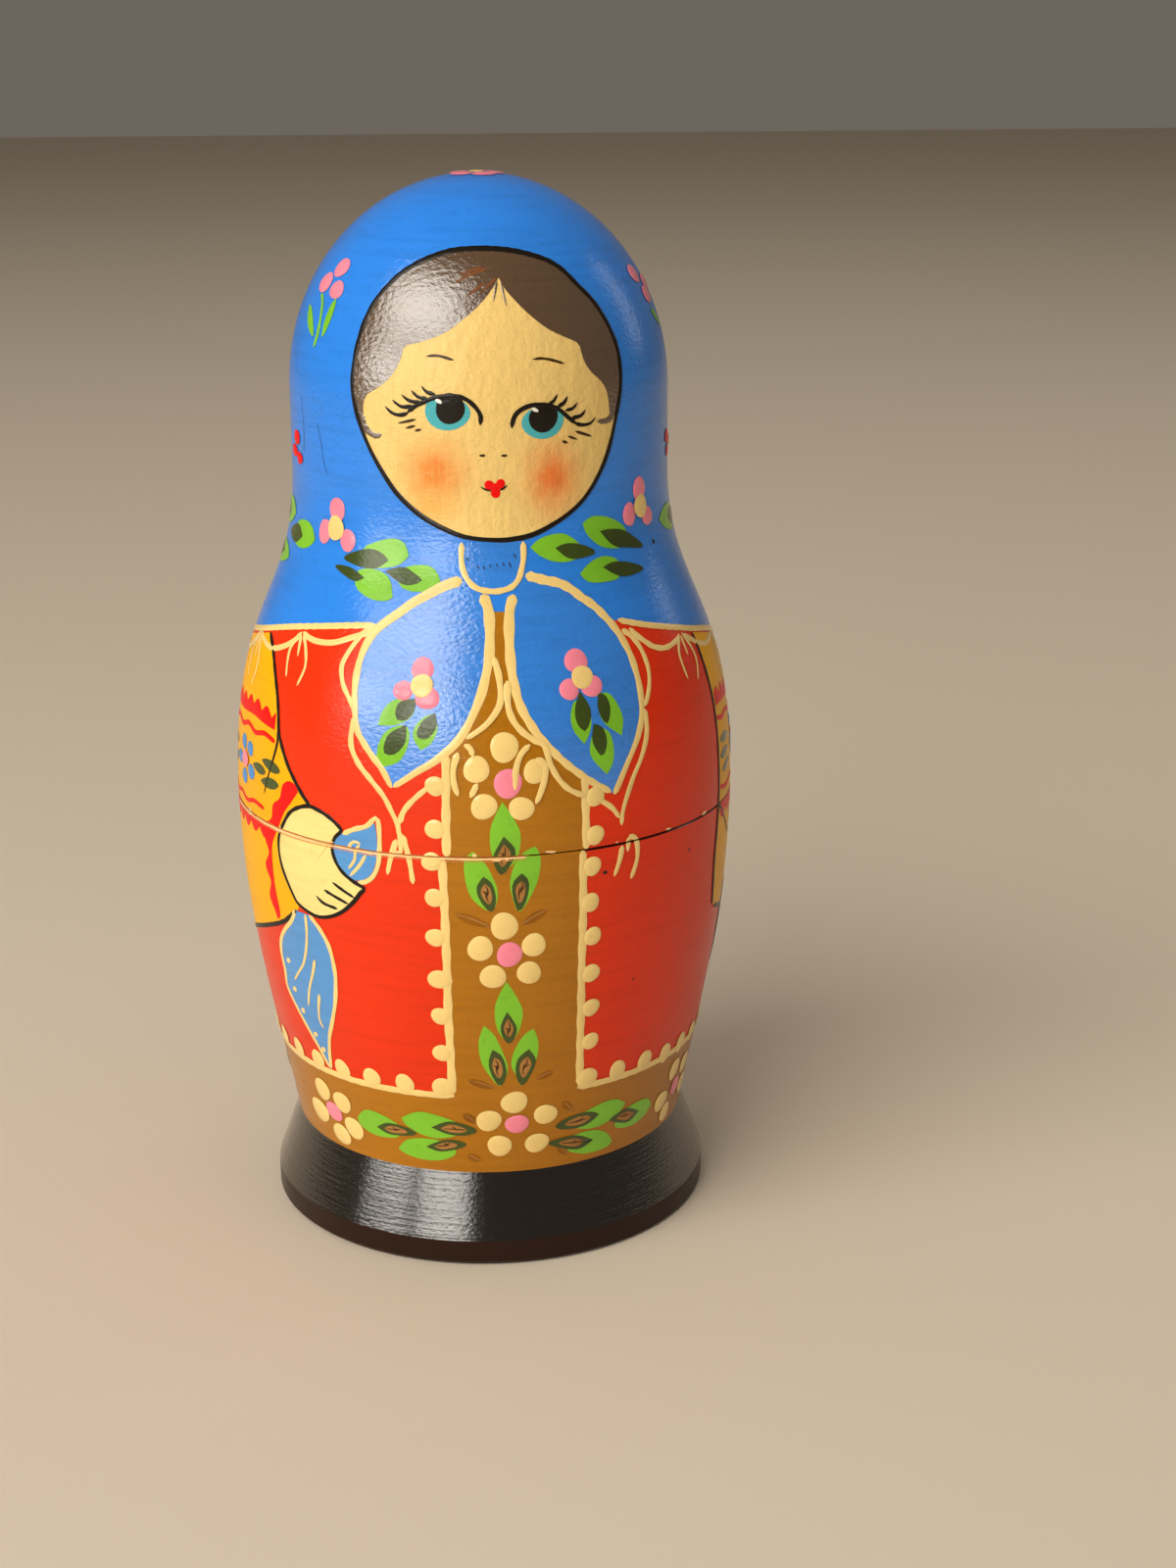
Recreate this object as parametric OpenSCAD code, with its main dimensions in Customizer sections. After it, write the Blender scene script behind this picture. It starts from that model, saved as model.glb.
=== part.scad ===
// Nesting doll set: nine hollow dolls in two halves, one solid doll at the heart.
// Millimetres, +Z up, origin at the middle of the foot, painted front towards -Y.

/* [Figure] */
// Height of the largest doll
height = 220; // [190:1:260]
// Radius at the widest place, where the two halves meet
belly_r = 52.9; // [46:0.1:60]
// Height of the seam between the halves
seam_z = 92; // [80:1:104]
// Radius of the head
head_r = 39; // [34:0.1:44]
// Height where the shoulders have run out into the head
neck_z = 162; // [152:0.5:170]
// Height where the cheeks begin to close into the crown
cheek_z = 177.5; // [171:0.5:186]

/* [Curves] */
// Height over which the coat keeps its slope above the hem
hem_pull = 17.4; // [8:0.1:26]
// Outward lean of the coat over that height
hem_lean = 3.1; // [0:0.1:6]
// Height over which the coat stays upright below the seam
belly_pull = 29; // [15:0.5:34]
// Height over which the side stays upright above the seam
shoulder_pull = 44; // [30:0.5:50]
// Height over which the neck stays upright below the head
neck_pull = 29.5; // [15:0.5:40]

/* [Stand] */
// Radius of the foot
foot_r = 47.6; // [43:0.1:51]
// Height of the upright rim round the foot
rim_h = 5.5; // [3:0.1:9]
// Height of the stand up to the hem of the coat
stand_h = 19; // [14:0.5:24]
// Radius at the hem, where the coat rises from the stand
hem_r = 42.6; // [38:0.1:46]
// Chamfer round the underside of the foot
foot_edge = 0.8; // [0.3:0.1:1.5]

/* [Hollow] */
// Wall at the seam, from the outside to the hollow
wall = 8.4; // [7:0.1:10]
// Room left all round the doll inside
nest_gap = 2.4; // [1.2:0.1:3.4]
// Wall beside the foot of the doll inside
foot_wall = 4; // [2.5:0.1:6]
// Wood over the hollow at the top of the head
crown_t = 14; // [8:0.5:20]

/* [Seam] */
// Wall of the upper half where it slips over the lower one
sleeve_t = 4.2; // [3:0.1:5.4]
// Depth of the upper half's socket above the seam
socket_h = 12; // [8:0.5:16]
// Space left over the ring when the doll is closed
ring_top_gap = 0.6; // [0.3:0.1:1.5]
// Chamfer at the top of the ring
ring_edge = 0.6; // [0.2:0.1:1.2]
// Chamfer on both outer edges of the seam
seam_edge = 0.4; // [0.2:0.1:0.8]
// Space between ring and socket, the same for every doll
fit_gap = 0.08; // [0.03:0.01:0.1]

/* [Hidden] */
// Names of the dolls, from the largest to the solid one
names = ["outer", "second", "third", "fourth", "fifth", "sixth", "seventh", "eighth", "ninth", "tenth"];
// Number of hollow dolls
hollow_count = len(names) - 1;
// Straight steps in each curve of the outline
curve_steps = 18;
// Steps round each turned piece
turn_steps = 96;

// Paint of the headscarf and of the coat
scarf_blue = [0.03, 0.33, 0.68];
coat_red = [0.72, 0.06, 0.05];

// The doll inside against the one that holds it, across and in height
inner_across = min((belly_r - wall - nest_gap) / belly_r, (belly_r - wall - fit_gap) / foot_r);
coat = curve([hem_r, stand_h], [hem_r + hem_lean, stand_h + hem_pull],
    [belly_r, seam_z - belly_pull], [belly_r, seam_z]);
shoulder = curve([belly_r, seam_z], [belly_r, seam_z + shoulder_pull],
    [head_r, neck_z - neck_pull], [head_r, neck_z]);
cup_r = foot_r * inner_across + nest_gap;
floor_z = lookup(cup_r + foot_wall, coat);
inner_height = (height - floor_z - crown_t - nest_gap) / height;

mouth_r = belly_r - wall;
socket_r = belly_r - sleeve_t;
socket_z = seam_z + socket_h;
ring_z = socket_z - ring_top_gap;

function upper_name(k) = str(names[k], "_upper_half");
function lower_name(k) = str(names[k], "_lower_half");
function solid_name() = str(names[hollow_count], "_doll");

// Cubic curve from p to s, pulled towards q and r
function curve(p, q, r, s) = [
    for (i = [0:curve_steps])
        let (t = i / curve_steps, u = 1 - t)
            u * u * u * p + 3 * u * u * t * q + 3 * u * t * t * r + t * t * t * s
];

// Quarter oval over the cheeks, from radius r at height z up to z + h
function dome(r, h, z) = [
    for (i = [0:curve_steps])
        let (turn = 90 * i / curve_steps)
            [i == curve_steps ? 0 : r * cos(turn), z + h * sin(turn)]
];

function backwards(list) = [for (i = [len(list) - 1:-1:0]) list[i]];

// A point of the figure moved to the doll inside, with the room round it added
function room(p) = [p.x * inner_across + nest_gap, p.y * inner_height + floor_z];

// A point of the largest doll moved to doll k, which stands on the floors below it
function placed(p, k) = [
    p.x * pow(inner_across, k),
    p.y * pow(inner_height, k) + floor_z * (1 - pow(inner_height, k)) / (1 - inner_height)
];

foot_outline = [
    [0, 0],
    [foot_r - foot_edge, 0],
    [foot_r, foot_edge],
    [foot_r, rim_h]
];
coat_outline = [for (p = coat) if (p.y < seam_z - seam_edge) p];
shoulder_outline = [for (p = shoulder) if (p.y > seam_z + seam_edge) p];
head_outline = dome(head_r, height - cheek_z, cheek_z);

cup = [
    for (p = coat)
        let (q = room(p))
            if (q.x > cup_r && q.y > floor_z && q.y < ring_z - ring_edge) q
];
vault = concat(
    [for (p = shoulder) let (q = room(p)) if (q.y > socket_z) q],
    dome(
        head_r * inner_across + nest_gap,
        (height - cheek_z) * inner_height + nest_gap,
        cheek_z * inner_height + floor_z
    )
);

module turned(outline) rotate_extrude($fn = turn_steps) polygon(outline);

module upper_half(k) {
    outside = concat(
        [[belly_r - seam_edge, seam_z], [belly_r, seam_z + seam_edge]],
        shoulder_outline,
        head_outline
    );
    inside = concat(
        backwards(vault),
        [[mouth_r, socket_z], [socket_r, socket_z], [socket_r, seam_z]]
    );
    color(scarf_blue) turned([for (p = concat(outside, inside)) placed(p, k)]);
}

module lower_half(k) {
    clearance = [fit_gap, 0];
    outside = concat(
        foot_outline,
        coat_outline,
        [[belly_r, seam_z - seam_edge], [belly_r - seam_edge, seam_z]]
    );
    ring = [
        placed([socket_r, seam_z], k) - clearance,
        placed([socket_r, ring_z - ring_edge], k) - clearance,
        placed([socket_r - ring_edge, ring_z], k) - clearance
    ];
    inside = concat(
        [[mouth_r, ring_z]],
        backwards(cup),
        [[cup_r, floor_z], [0, floor_z]]
    );
    color(coat_red) turned(concat(
        [for (p = outside) placed(p, k)],
        ring,
        [for (p = inside) placed(p, k)]
    ));
}

module solid_doll(k) {
    outline = concat(foot_outline, coat, shoulder_outline, head_outline);
    color(coat_red) turned([for (p = outline) placed(p, k)]);
}

for (k = [0:hollow_count - 1]) {
    upper_half(k);
    lower_half(k);
}
solid_doll(hollow_count);
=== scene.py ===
import bpy
import math
from mathutils import Matrix, Vector


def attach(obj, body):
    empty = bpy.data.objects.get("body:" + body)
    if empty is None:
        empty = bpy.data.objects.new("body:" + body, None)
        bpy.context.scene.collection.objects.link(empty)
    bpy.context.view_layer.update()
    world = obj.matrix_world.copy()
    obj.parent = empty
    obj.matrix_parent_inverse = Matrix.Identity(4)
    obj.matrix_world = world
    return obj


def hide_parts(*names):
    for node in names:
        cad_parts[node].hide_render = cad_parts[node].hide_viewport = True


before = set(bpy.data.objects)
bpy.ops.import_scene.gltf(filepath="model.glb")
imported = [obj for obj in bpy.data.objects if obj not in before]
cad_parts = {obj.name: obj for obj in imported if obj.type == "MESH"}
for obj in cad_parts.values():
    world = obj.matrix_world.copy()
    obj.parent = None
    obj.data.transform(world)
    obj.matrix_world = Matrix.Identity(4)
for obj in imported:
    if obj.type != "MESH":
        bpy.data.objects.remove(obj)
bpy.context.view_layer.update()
bpy.ops.object.select_all(action="DESELECT")
print("frame loaded:", len(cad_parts), "nodes")

mm = 0.001

# the turned figure
fig = {  # millimetres, as the solids were turned
    "height": 220.0, "bellyR": 52.9, "seamZ": 92.0, "headR": 39.0, "neckZ": 162.0, "cheekZ": 177.5,
    "hemPull": 17.4, "hemLean": 3.1, "bellyPull": 29.0, "shoulderPull": 44.0, "neckPull": 29.5,
    "footR": 47.6, "rimH": 5.5, "standH": 19.0, "hemR": 42.6, "footEdge": 0.8,
    "wall": 8.4, "nestGap": 2.4, "footWall": 4.0, "crownT": 14.0,
    "sleeveT": 4.2, "socketH": 12.0, "ringTopGap": 0.6, "ringEdge": 0.6, "seamEdge": 0.4, "fitGap": 0.08,
    "sideSteps": 48, "crownSteps": 40, "floorSteps": 18, "slopeStep": 0.3,
}


def bezier(p, q, r, s, steps):
    found = []
    for i in range(steps + 1):
        t = i / steps
        u = 1 - t
        found.append(tuple(u ** 3 * a + 3 * u * u * t * b + 3 * u * t * t * c + t ** 3 * d
                           for a, b, c, d in zip(p, q, r, s)))
    return found


def dome(r, h, z, steps):
    turns = [math.pi / 2 * i / steps for i in range(steps + 1)]
    return [(r * math.cos(t) if t < math.pi / 2 - 1e-6 else 0.0, z + h * math.sin(t)) for t in turns]


def coatLine(steps):  # from the hem to the seam
    return bezier((fig["hemR"], fig["standH"]), (fig["hemR"] + fig["hemLean"], fig["standH"] + fig["hemPull"]),
                  (fig["bellyR"], fig["seamZ"] - fig["bellyPull"]), (fig["bellyR"], fig["seamZ"]), steps)


def shoulderLine(steps):  # from the seam to the head
    return bezier((fig["bellyR"], fig["seamZ"]), (fig["bellyR"], fig["seamZ"] + fig["shoulderPull"]),
                  (fig["headR"], fig["neckZ"] - fig["neckPull"]), (fig["headR"], fig["neckZ"]), steps)


def crownLine(steps):
    return dome(fig["headR"], fig["height"] - fig["cheekZ"], fig["cheekZ"], steps)


def along(value, points, key, want):  # straight look-up in a rising list of points
    for a, b in zip(points, points[1:]):
        if a[key] <= value <= b[key] and b[key] > a[key]:
            return a[want] + (b[want] - a[want]) * (value - a[key]) / (b[key] - a[key])
    return points[-1][want] if value > points[-1][key] else points[0][want]


sideCurve = coatLine(fig["sideSteps"]) + shoulderLine(fig["sideSteps"])[1:] + crownLine(fig["crownSteps"])
innerAcross = (fig["bellyR"] - fig["wall"] - fig["nestGap"]) / fig["bellyR"]
cupR = fig["footR"] * innerAcross + fig["nestGap"]
floorZ = along(cupR + fig["footWall"], coatLine(fig["floorSteps"]), 0, 1)
innerHeight = (fig["height"] - floorZ - fig["crownT"] - fig["nestGap"]) / fig["height"]


def sideR(z):
    return along(z, sideCurve, 1, 0)


def perDegree(z):  # millimetres round the doll for one degree
    return math.radians(1) * sideR(z)


def onDoll(phi, z, lift):  # angle from the front in degrees, height and lift in millimetres
    turn = math.radians(phi)
    step = fig["slopeStep"]
    slope = (sideR(z + step) - sideR(z - step)) / (2 * step)
    lean = math.hypot(1, slope)
    r = sideR(z) + lift / lean
    return (r * math.sin(turn) * mm, -r * math.cos(turn) * mm, (z - lift * slope / lean) * mm)


def selectOnly(pieces):
    bpy.ops.object.select_all(action="DESELECT")
    for piece in pieces:
        piece.select_set(True)
    bpy.context.view_layer.objects.active = pieces[0]


def joinAll(pieces, name):
    selectOnly(pieces)
    if len(pieces) > 1:
        bpy.ops.object.join()
    joined = bpy.context.view_layer.objects.active
    joined.name = joined.data.name = name
    return joined


def editAll(piece):
    selectOnly([piece])
    bpy.ops.object.mode_set(mode="EDIT")
    bpy.ops.mesh.select_all(action="SELECT")


# paints and wood
paints = {  # the colour each paint shows, as red green blue from 0 to 255
    "scarfBlue": (40, 134, 238), "coatRed": (230, 50, 2), "panelBrown": (176, 112, 4),
    "sleeveYellow": (248, 178, 0), "faceSkin": (244, 208, 127), "hairBrown": (90, 64, 38),
    "cream": (248, 214, 134), "pink": (254, 140, 162), "leafGreen": (128, 198, 44), "leafDark": (62, 78, 24),
    "wornBrown": (176, 122, 62), "black": (26, 20, 14), "lipRed": (238, 12, 8), "irisTeal": (78, 178, 186),
    "white": (246, 244, 232), "petalBlue": (74, 142, 214), "kerchiefBlue": (84, 150, 214),
    "handSkin": (250, 222, 138), "standBlack": (18, 11, 6), "rimBlack": (40, 20, 10),
    "limeWood": (226, 192, 140), "browBrown": (70, 46, 18), "scarfTails": (44, 132, 230),
    "leafFaint": (150, 92, 14), "hairStroke": (128, 76, 42), "chipWood": (250, 206, 142),
    # the dark seam paint is painted shade in the gap at the seam, and also colours small dark spots
    "seamWorn": (222, 140, 76), "seamDark": (48, 14, 6), "crack": (40, 60, 96),
}
varnish = {
    "coat": 0.75, "coatRough": 0.12, "specular": 0.1, "wrinkles": (1000.0, 4.0, (1, 1, 1.5)),
    "peel": (0.7, 0.00006), "ridges": (0.4, 0.00006),  # strength and height in metres
}
mottle = {  # what shades every paint: noise range, strength, tint
    "lines": (0.45, 0.72, 2.4, 0.66), "clouds": (0.5, 0.76, 2.0, 1.22), "specks": (0.6, 0.72, 1.6, 0.6),
    "lineScale": 55.0, "lineDetail": 5.0, "cloudScale": 42.0, "cloudDetail": 4.0, "speckDetail": 3.0,
    "roughRange": (0.3, 0.7), "roughSpread": (-0.08, 0.1),
}
flat = {"coat": 0.45}  # thin flat paint on the face
rubbed = {"rough": 0.6, "streak": 0.5, "peel": 3.0, "coat": 0.3, "lines": 2, "speck": 1500.0}
coats = {  # how a paint differs from plain glossy paint
    "black": flat, "irisTeal": flat, "browBrown": flat, "leafFaint": rubbed, "wornBrown": rubbed,
    "scarfBlue": {"streak": 0.15, "peel": 2.4, "bend": 1.7},
    "scarfTails": {"streak": 0.17, "peel": 3.4, "coat": 1.3, "bend": 1.9},
    "coatRed": {"streak": 0.1, "peel": 2.6, "coat": 0.6, "speck": 900.0},
    "panelBrown": {"peel": 2.6, "coat": 0.8},
    "sleeveYellow": {"coat": 0.25},
    "lipRed": {"coat": 0.25},
    "hairBrown": {"peel": 3.4, "coat": 1.3, "bend": 2.3},
    "leafDark": {"streak": 0.4, "peel": 1.6, "lines": 2, "speck": 1500.0},
    "leafGreen": {"streak": 0.15, "lines": 2},
    "pink": {"streak": 0.15, "lines": 2},
    "cream": {"streak": 0.13, "lines": 2, "speck": 1100.0},
    "standBlack": {"rough": 0.25, "streak": 0.2, "peel": 1.2, "lathe": 2.2, "coat": 1.3, "bend": 1.8, "lines": 32},
    "rimBlack": {"streak": 0.2, "coat": 0.3, "lines": 36},
}


def linear(rgb):
    def one(c):
        c /= 255
        return c / 12.92 if c <= 0.04045 else ((c + 0.055) / 1.055) ** 2.4
    return tuple(one(c) for c in rgb) + (1.0,)


def shaded(colour, by):
    return tuple(min(1.0, c * by) for c in colour[:3]) + (1.0,)


def node(tree, kind, **values):
    made = tree.nodes.new(kind)
    for key, value in values.items():
        if key in made.inputs:
            made.inputs[key].default_value = value
        else:
            setattr(made, key, value)
    return made


def noise(tree, source, scale, detail, stretch=(1, 1, 1)):
    place = node(tree, "ShaderNodeMapping", Scale=stretch)
    grain = node(tree, "ShaderNodeTexNoise", Scale=scale, Detail=detail)
    tree.links.new(source, place.inputs["Vector"])
    tree.links.new(place.outputs["Vector"], grain.inputs["Vector"])
    return grain.outputs["Fac"]


def spread(tree, source, low, high, toLow, toHigh):
    fit = node(tree, "ShaderNodeMapRange")
    for key, value in (("From Min", low), ("From Max", high), ("To Min", toLow), ("To Max", toHigh)):
        fit.inputs[key].default_value = value
    tree.links.new(source, fit.inputs["Value"])
    return fit.outputs["Result"]


def mix(tree, share, one, two):
    blend = node(tree, "ShaderNodeMix", data_type="RGBA", blend_type="MIX")
    for socket, value in ((blend.inputs[0], share), (blend.inputs[6], one), (blend.inputs[7], two)):
        if isinstance(value, bpy.types.NodeSocket):
            tree.links.new(value, socket)
        else:
            socket.default_value = value
    return blend.outputs[2]


def tinted(tree, base, colour, source, low, high, most, tint):  # shades the base where the noise is strong
    return mix(tree, spread(tree, source, low, high, 0.0, most), base, shaded(colour, tint))


def bump(tree, height, strength, distance, under=None):
    raised = node(tree, "ShaderNodeBump", Strength=strength, Distance=distance)
    tree.links.new(height, raised.inputs["Height"])
    if under is not None:
        tree.links.new(under, raised.inputs["Normal"])
    return raised.outputs["Normal"]


def bare(name):
    made = bpy.data.materials.new(name)
    made.use_nodes = True
    tree = made.node_tree
    tree.nodes.clear()
    out = node(tree, "ShaderNodeOutputMaterial")
    skin = node(tree, "ShaderNodeBsdfPrincipled")
    tree.links.new(skin.outputs["BSDF"], out.inputs["Surface"])
    return made, tree, skin, node(tree, "ShaderNodeTexCoord")


def lacquer(tree, skin, at, ridges, peel=1.0, lathe=1.0, coat=1.0, bend=1.5):  # clear varnish, finely wrinkled
    strength, high = varnish["peel"]
    normal = bump(tree, noise(tree, at, *varnish["wrinkles"]), strength, high * peel)
    strength, high = varnish["ridges"]
    normal = bump(tree, ridges, strength, high * lathe, normal)
    tree.links.new(normal, skin.inputs["Normal"])
    tree.links.new(normal, skin.inputs["Coat Normal"])
    skin.inputs["Specular IOR Level"].default_value = varnish["specular"]
    skin.inputs["Coat Weight"].default_value = min(1.0, varnish["coat"] * coat)
    skin.inputs["Coat Roughness"].default_value = varnish["coatRough"]
    skin.inputs["Coat IOR"].default_value = bend


def paint(name, rough=0.4, streak=0.12, peel=1.0, lathe=1.0, coat=1.0, bend=1.5, lines=14, speck=520.0):
    made, tree, skin, coords = bare(name)
    at = coords.outputs["Object"]
    base = colour = linear(paints[name])
    layers = {"lines": noise(tree, at, mottle["lineScale"], mottle["lineDetail"], (1, 1, lines)),
              "clouds": noise(tree, at, mottle["cloudScale"], mottle["cloudDetail"]),
              "specks": noise(tree, at, speck, mottle["speckDetail"])}
    for layer, source in layers.items():
        low, high, strength, tint = mottle[layer]
        base = tinted(tree, base, colour, source, low, high, streak * strength, tint)
    tree.links.new(base, skin.inputs["Base Color"])
    less, more = mottle["roughSpread"]
    dull = spread(tree, layers["clouds"], *mottle["roughRange"], rough + less, rough + more)
    tree.links.new(dull, skin.inputs["Roughness"])
    lacquer(tree, skin, at, layers["lines"], peel, lathe, coat, bend)
    return made


rouge = {
    "spots": [  # angle and height, reach, strength, colour
        ((-18.8, 165.6), (17.0, 11.0), 1.0, (236, 122, 26)), ((15.4, 164.0), (14.5, 12.0), 1.0, (242, 104, 26)),
        ((-20.0, 158.5), (12.0, 7.5), 0.5, (242, 164, 36))],
    "soft": 0.7, "patchy": (0.25, 0.6, 0.5, 1.0), "ragged": 0.016, "raggedScale": 55.0, "raggedDetail": 4.0,
    # noise: scale, detail, stretch
    "grain": (1.0, 4.0, (1500.0, 26.0, 1)), "wide": (1.0, 3.0, (170, 30, 1)), "fine": (700.0, 3.0),
    "relief": (430.0, 4.0, (1, 1, 0.7)),
    # noise range, strength, tint
    "wideTint": (0.4, 0.72, 0.4, 0.86), "grainTint": (0.48, 0.72, 0.5, 0.74), "fineTint": (0.58, 0.7, 0.22, 0.7),
    "rough": (0.3, 0.7, 0.34, 0.5), "lacquer": {"peel": 3.0, "lathe": 15.0, "coat": 0.4},
}


def faceSkin():  # thin paint on the bare wood, with rouge on the cheeks
    made, tree, skin, coords = bare("faceSkin")
    at, chart = coords.outputs["Object"], coords.outputs["UV"]
    colour = linear(paints["faceSkin"])
    grain, wide = noise(tree, chart, *rouge["grain"]), noise(tree, chart, *rouge["wide"])
    # the edges of the rouge wander
    stray = node(tree, "ShaderNodeTexNoise", Scale=rouge["raggedScale"], Detail=rouge["raggedDetail"])
    tree.links.new(chart, stray.inputs["Vector"])
    ragged = node(tree, "ShaderNodeVectorMath", operation="MULTIPLY_ADD")
    tree.links.new(stray.outputs["Color"], ragged.inputs[0])
    ragged.inputs[1].default_value = [rouge["ragged"]] * 3
    ragged.inputs[2].default_value = [-rouge["ragged"] / 2] * 3
    wander = node(tree, "ShaderNodeVectorMath", operation="ADD")
    tree.links.new(chart, wander.inputs[0])
    tree.links.new(ragged.outputs["Vector"], wander.inputs[1])
    base = tinted(tree, colour, colour, wide, *rouge["wideTint"])
    for (phi, z), (across, high), most, tint in rouge["spots"]:
        place = node(tree, "ShaderNodeMapping", vector_type="TEXTURE")
        place.inputs["Location"].default_value = (phi / 360 + 0.5, z / fig["height"], 0)
        place.inputs["Scale"].default_value = (across / 360, high / fig["height"], 1)
        ball = node(tree, "ShaderNodeTexGradient", gradient_type="QUADRATIC_SPHERE")
        tree.links.new(wander.outputs["Vector"], place.inputs["Vector"])
        tree.links.new(place.outputs["Vector"], ball.inputs["Vector"])
        soft = node(tree, "ShaderNodeMath", operation="MULTIPLY")
        tree.links.new(spread(tree, ball.outputs["Fac"], 0.0, rouge["soft"], 0.0, most), soft.inputs[0])
        tree.links.new(spread(tree, grain, *rouge["patchy"]), soft.inputs[1])
        base = mix(tree, soft.outputs["Value"], base, linear(tint))
    base = tinted(tree, base, colour, grain, *rouge["grainTint"])
    base = tinted(tree, base, colour, noise(tree, at, *rouge["fine"]), *rouge["fineTint"])
    tree.links.new(base, skin.inputs["Base Color"])
    tree.links.new(spread(tree, wide, *rouge["rough"]), skin.inputs["Roughness"])
    lacquer(tree, skin, at, noise(tree, at, *rouge["relief"]), **rouge["lacquer"])
    return made


wood = {
    "grain": (90.0, 6.0, (6, 6, 0.5)), "lathe": (120.0, 2.0, (0.2, 0.2, 9)),
    "grainTint": (0.35, 0.75, 0.7, 0.62), "latheTint": (0.5, 0.7, 0.35, 0.5),
    "rough": (0.3, 0.7, 0.55, 0.72), "ridges": (0.5, 0.0001),
}


def limeWood():  # bare turned wood inside the dolls
    made, tree, skin, coords = bare("limeWood")
    at = coords.outputs["Object"]
    colour = linear(paints["limeWood"])
    grain, lathe = noise(tree, at, *wood["grain"]), noise(tree, at, *wood["lathe"])
    base = tinted(tree, colour, colour, grain, *wood["grainTint"])
    base = tinted(tree, base, colour, lathe, *wood["latheTint"])
    tree.links.new(base, skin.inputs["Base Color"])
    tree.links.new(spread(tree, grain, *wood["rough"]), skin.inputs["Roughness"])
    tree.links.new(bump(tree, lathe, *wood["ridges"]), skin.inputs["Normal"])
    return made


finish = {name: paint(name, **coats.get(name, {})) for name in paints if name not in ("limeWood", "faceSkin")}
finish["faceSkin"] = faceSkin()
finish["limeWood"] = limeWood()
print("paints mixed:", len(finish))

# turned shells
shell = {"around": 200, "steps": 48, "smooth": math.radians(14), "hemTop": 37.6, "lineGap": 0.2, "near": 0.05,
         "skin": 0.35, "seamDeep": 0.5, "footNear": 0.1, "footIn": 1.0, "crownIn": 1.0, "cut": 0.16, "worn": (4, 150)}


def spinShell(name, outline, around, choose):
    bpy.ops.object.select_all(action="DESELECT")
    bpy.ops.mesh.primitive_circle_add(vertices=len(outline), fill_type="NOTHING")
    piece = bpy.context.object
    piece.name = piece.data.name = name
    piece.location = (0, 0, 0)
    for vertex, (r, z) in zip(piece.data.vertices, outline):
        vertex.co = (r * mm, 0, z * mm)
    last = len(outline) - 1
    bpy.ops.object.mode_set(mode="EDIT")
    bpy.ops.mesh.select_all(action="DESELECT")
    bpy.ops.object.mode_set(mode="OBJECT")
    for edge in piece.data.edges:  # the ring is opened between its ends
        edge.select = set(edge.vertices) == {0, last}
    bpy.ops.object.mode_set(mode="EDIT")
    bpy.ops.mesh.select_mode(type="EDGE")
    bpy.ops.mesh.delete(type="EDGE")
    bpy.ops.mesh.select_all(action="SELECT")
    bpy.ops.mesh.spin(steps=around, angle=2 * math.pi, center=(0, 0, 0), axis=(0, 0, 1))
    bpy.ops.mesh.select_all(action="SELECT")
    bpy.ops.mesh.remove_doubles(threshold=1e-6)
    bpy.ops.mesh.normals_make_consistent(inside=False)
    bpy.ops.object.mode_set(mode="OBJECT")
    chosen = []
    for face in piece.data.polygons:
        middle = face.center / mm
        phi = math.degrees(math.atan2(middle.x, -middle.y))
        chosen.append(choose(math.hypot(middle.x, middle.y), middle.z, phi))
    used = sorted(set(chosen))
    for colour in used:
        piece.data.materials.append(finish[colour])
    for face, colour in zip(piece.data.polygons, chosen):
        face.material_index = used.index(colour)
    selectOnly([piece])
    bpy.ops.object.shade_smooth_by_angle(angle=shell["smooth"])
    return piece


def room(p):
    return (p[0] * innerAcross + fig["nestGap"], p[1] * innerHeight + floorZ)


def sections(steps):  # outlines to spin: upper half, lower half, solid doll
    coat, shoulder, crown = coatLine(steps), shoulderLine(steps), crownLine(steps)
    belly, seam, edge, foot = fig["bellyR"], fig["seamZ"], fig["seamEdge"], fig["footR"]
    socketR, mouthR, socketZ = belly - fig["sleeveT"], belly - fig["wall"], seam + fig["socketH"]
    ringR, ringZ = socketR - fig["fitGap"], socketZ - fig["ringTopGap"]
    ringSide = ringZ - fig["ringEdge"]
    outside = ([(belly - edge, seam), (belly, seam + edge)]
               + [p for p in shoulder if p[1] > seam + edge + shell["lineGap"]] + crown)
    vault = ([room(p) for p in shoulder if room(p)[1] > socketZ]
             + dome(fig["headR"] * innerAcross + fig["nestGap"],
                    (fig["height"] - fig["cheekZ"]) * innerHeight + fig["nestGap"],
                    fig["cheekZ"] * innerHeight + floorZ, max(8, steps // 2)))
    upper = outside[::-1] + [(socketR, seam), (socketR, socketZ), (mouthR, socketZ)] + vault
    side = ([(0, 0), (foot - fig["footEdge"], 0), (foot, fig["footEdge"]), (foot, fig["rimH"])]
            + [p for p in coat if p[1] < seam - edge - shell["lineGap"]])
    cup = [room(p) for p in coat if room(p)[0] > cupR and room(p)[1] < ringSide]
    lower = (side + [(belly, seam - edge), (belly - edge, seam), (ringR, seam), (ringR, ringSide),
                     (ringR - fig["ringEdge"], ringZ), (mouthR, ringZ)]
             + cup[::-1] + [(cupR, floorZ), (0, floorZ)])
    solid = side + shoulder + crown
    return upper, lower, solid


def seamPaint(phi):  # worn to the wood on one side, painted shade in the seam gap on the other
    low, high = shell["worn"]
    return "seamWorn" if phi < low or phi > high else "seamDark"


def standPaint(z):
    return "standBlack" if z > fig["rimH"] else "rimBlack"


def upperPaint(r, z, phi):
    seam, near = fig["seamZ"], shell["near"]
    if r > fig["bellyR"] - shell["seamDeep"] and z < seam + fig["seamEdge"] + near:
        return seamPaint(phi) if z > seam + near else "limeWood"
    outside = abs(r - sideR(z)) < shell["skin"] and z > seam + near
    return "scarfBlue" if outside or z > fig["height"] - fig["crownT"] + shell["crownIn"] else "limeWood"


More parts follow.
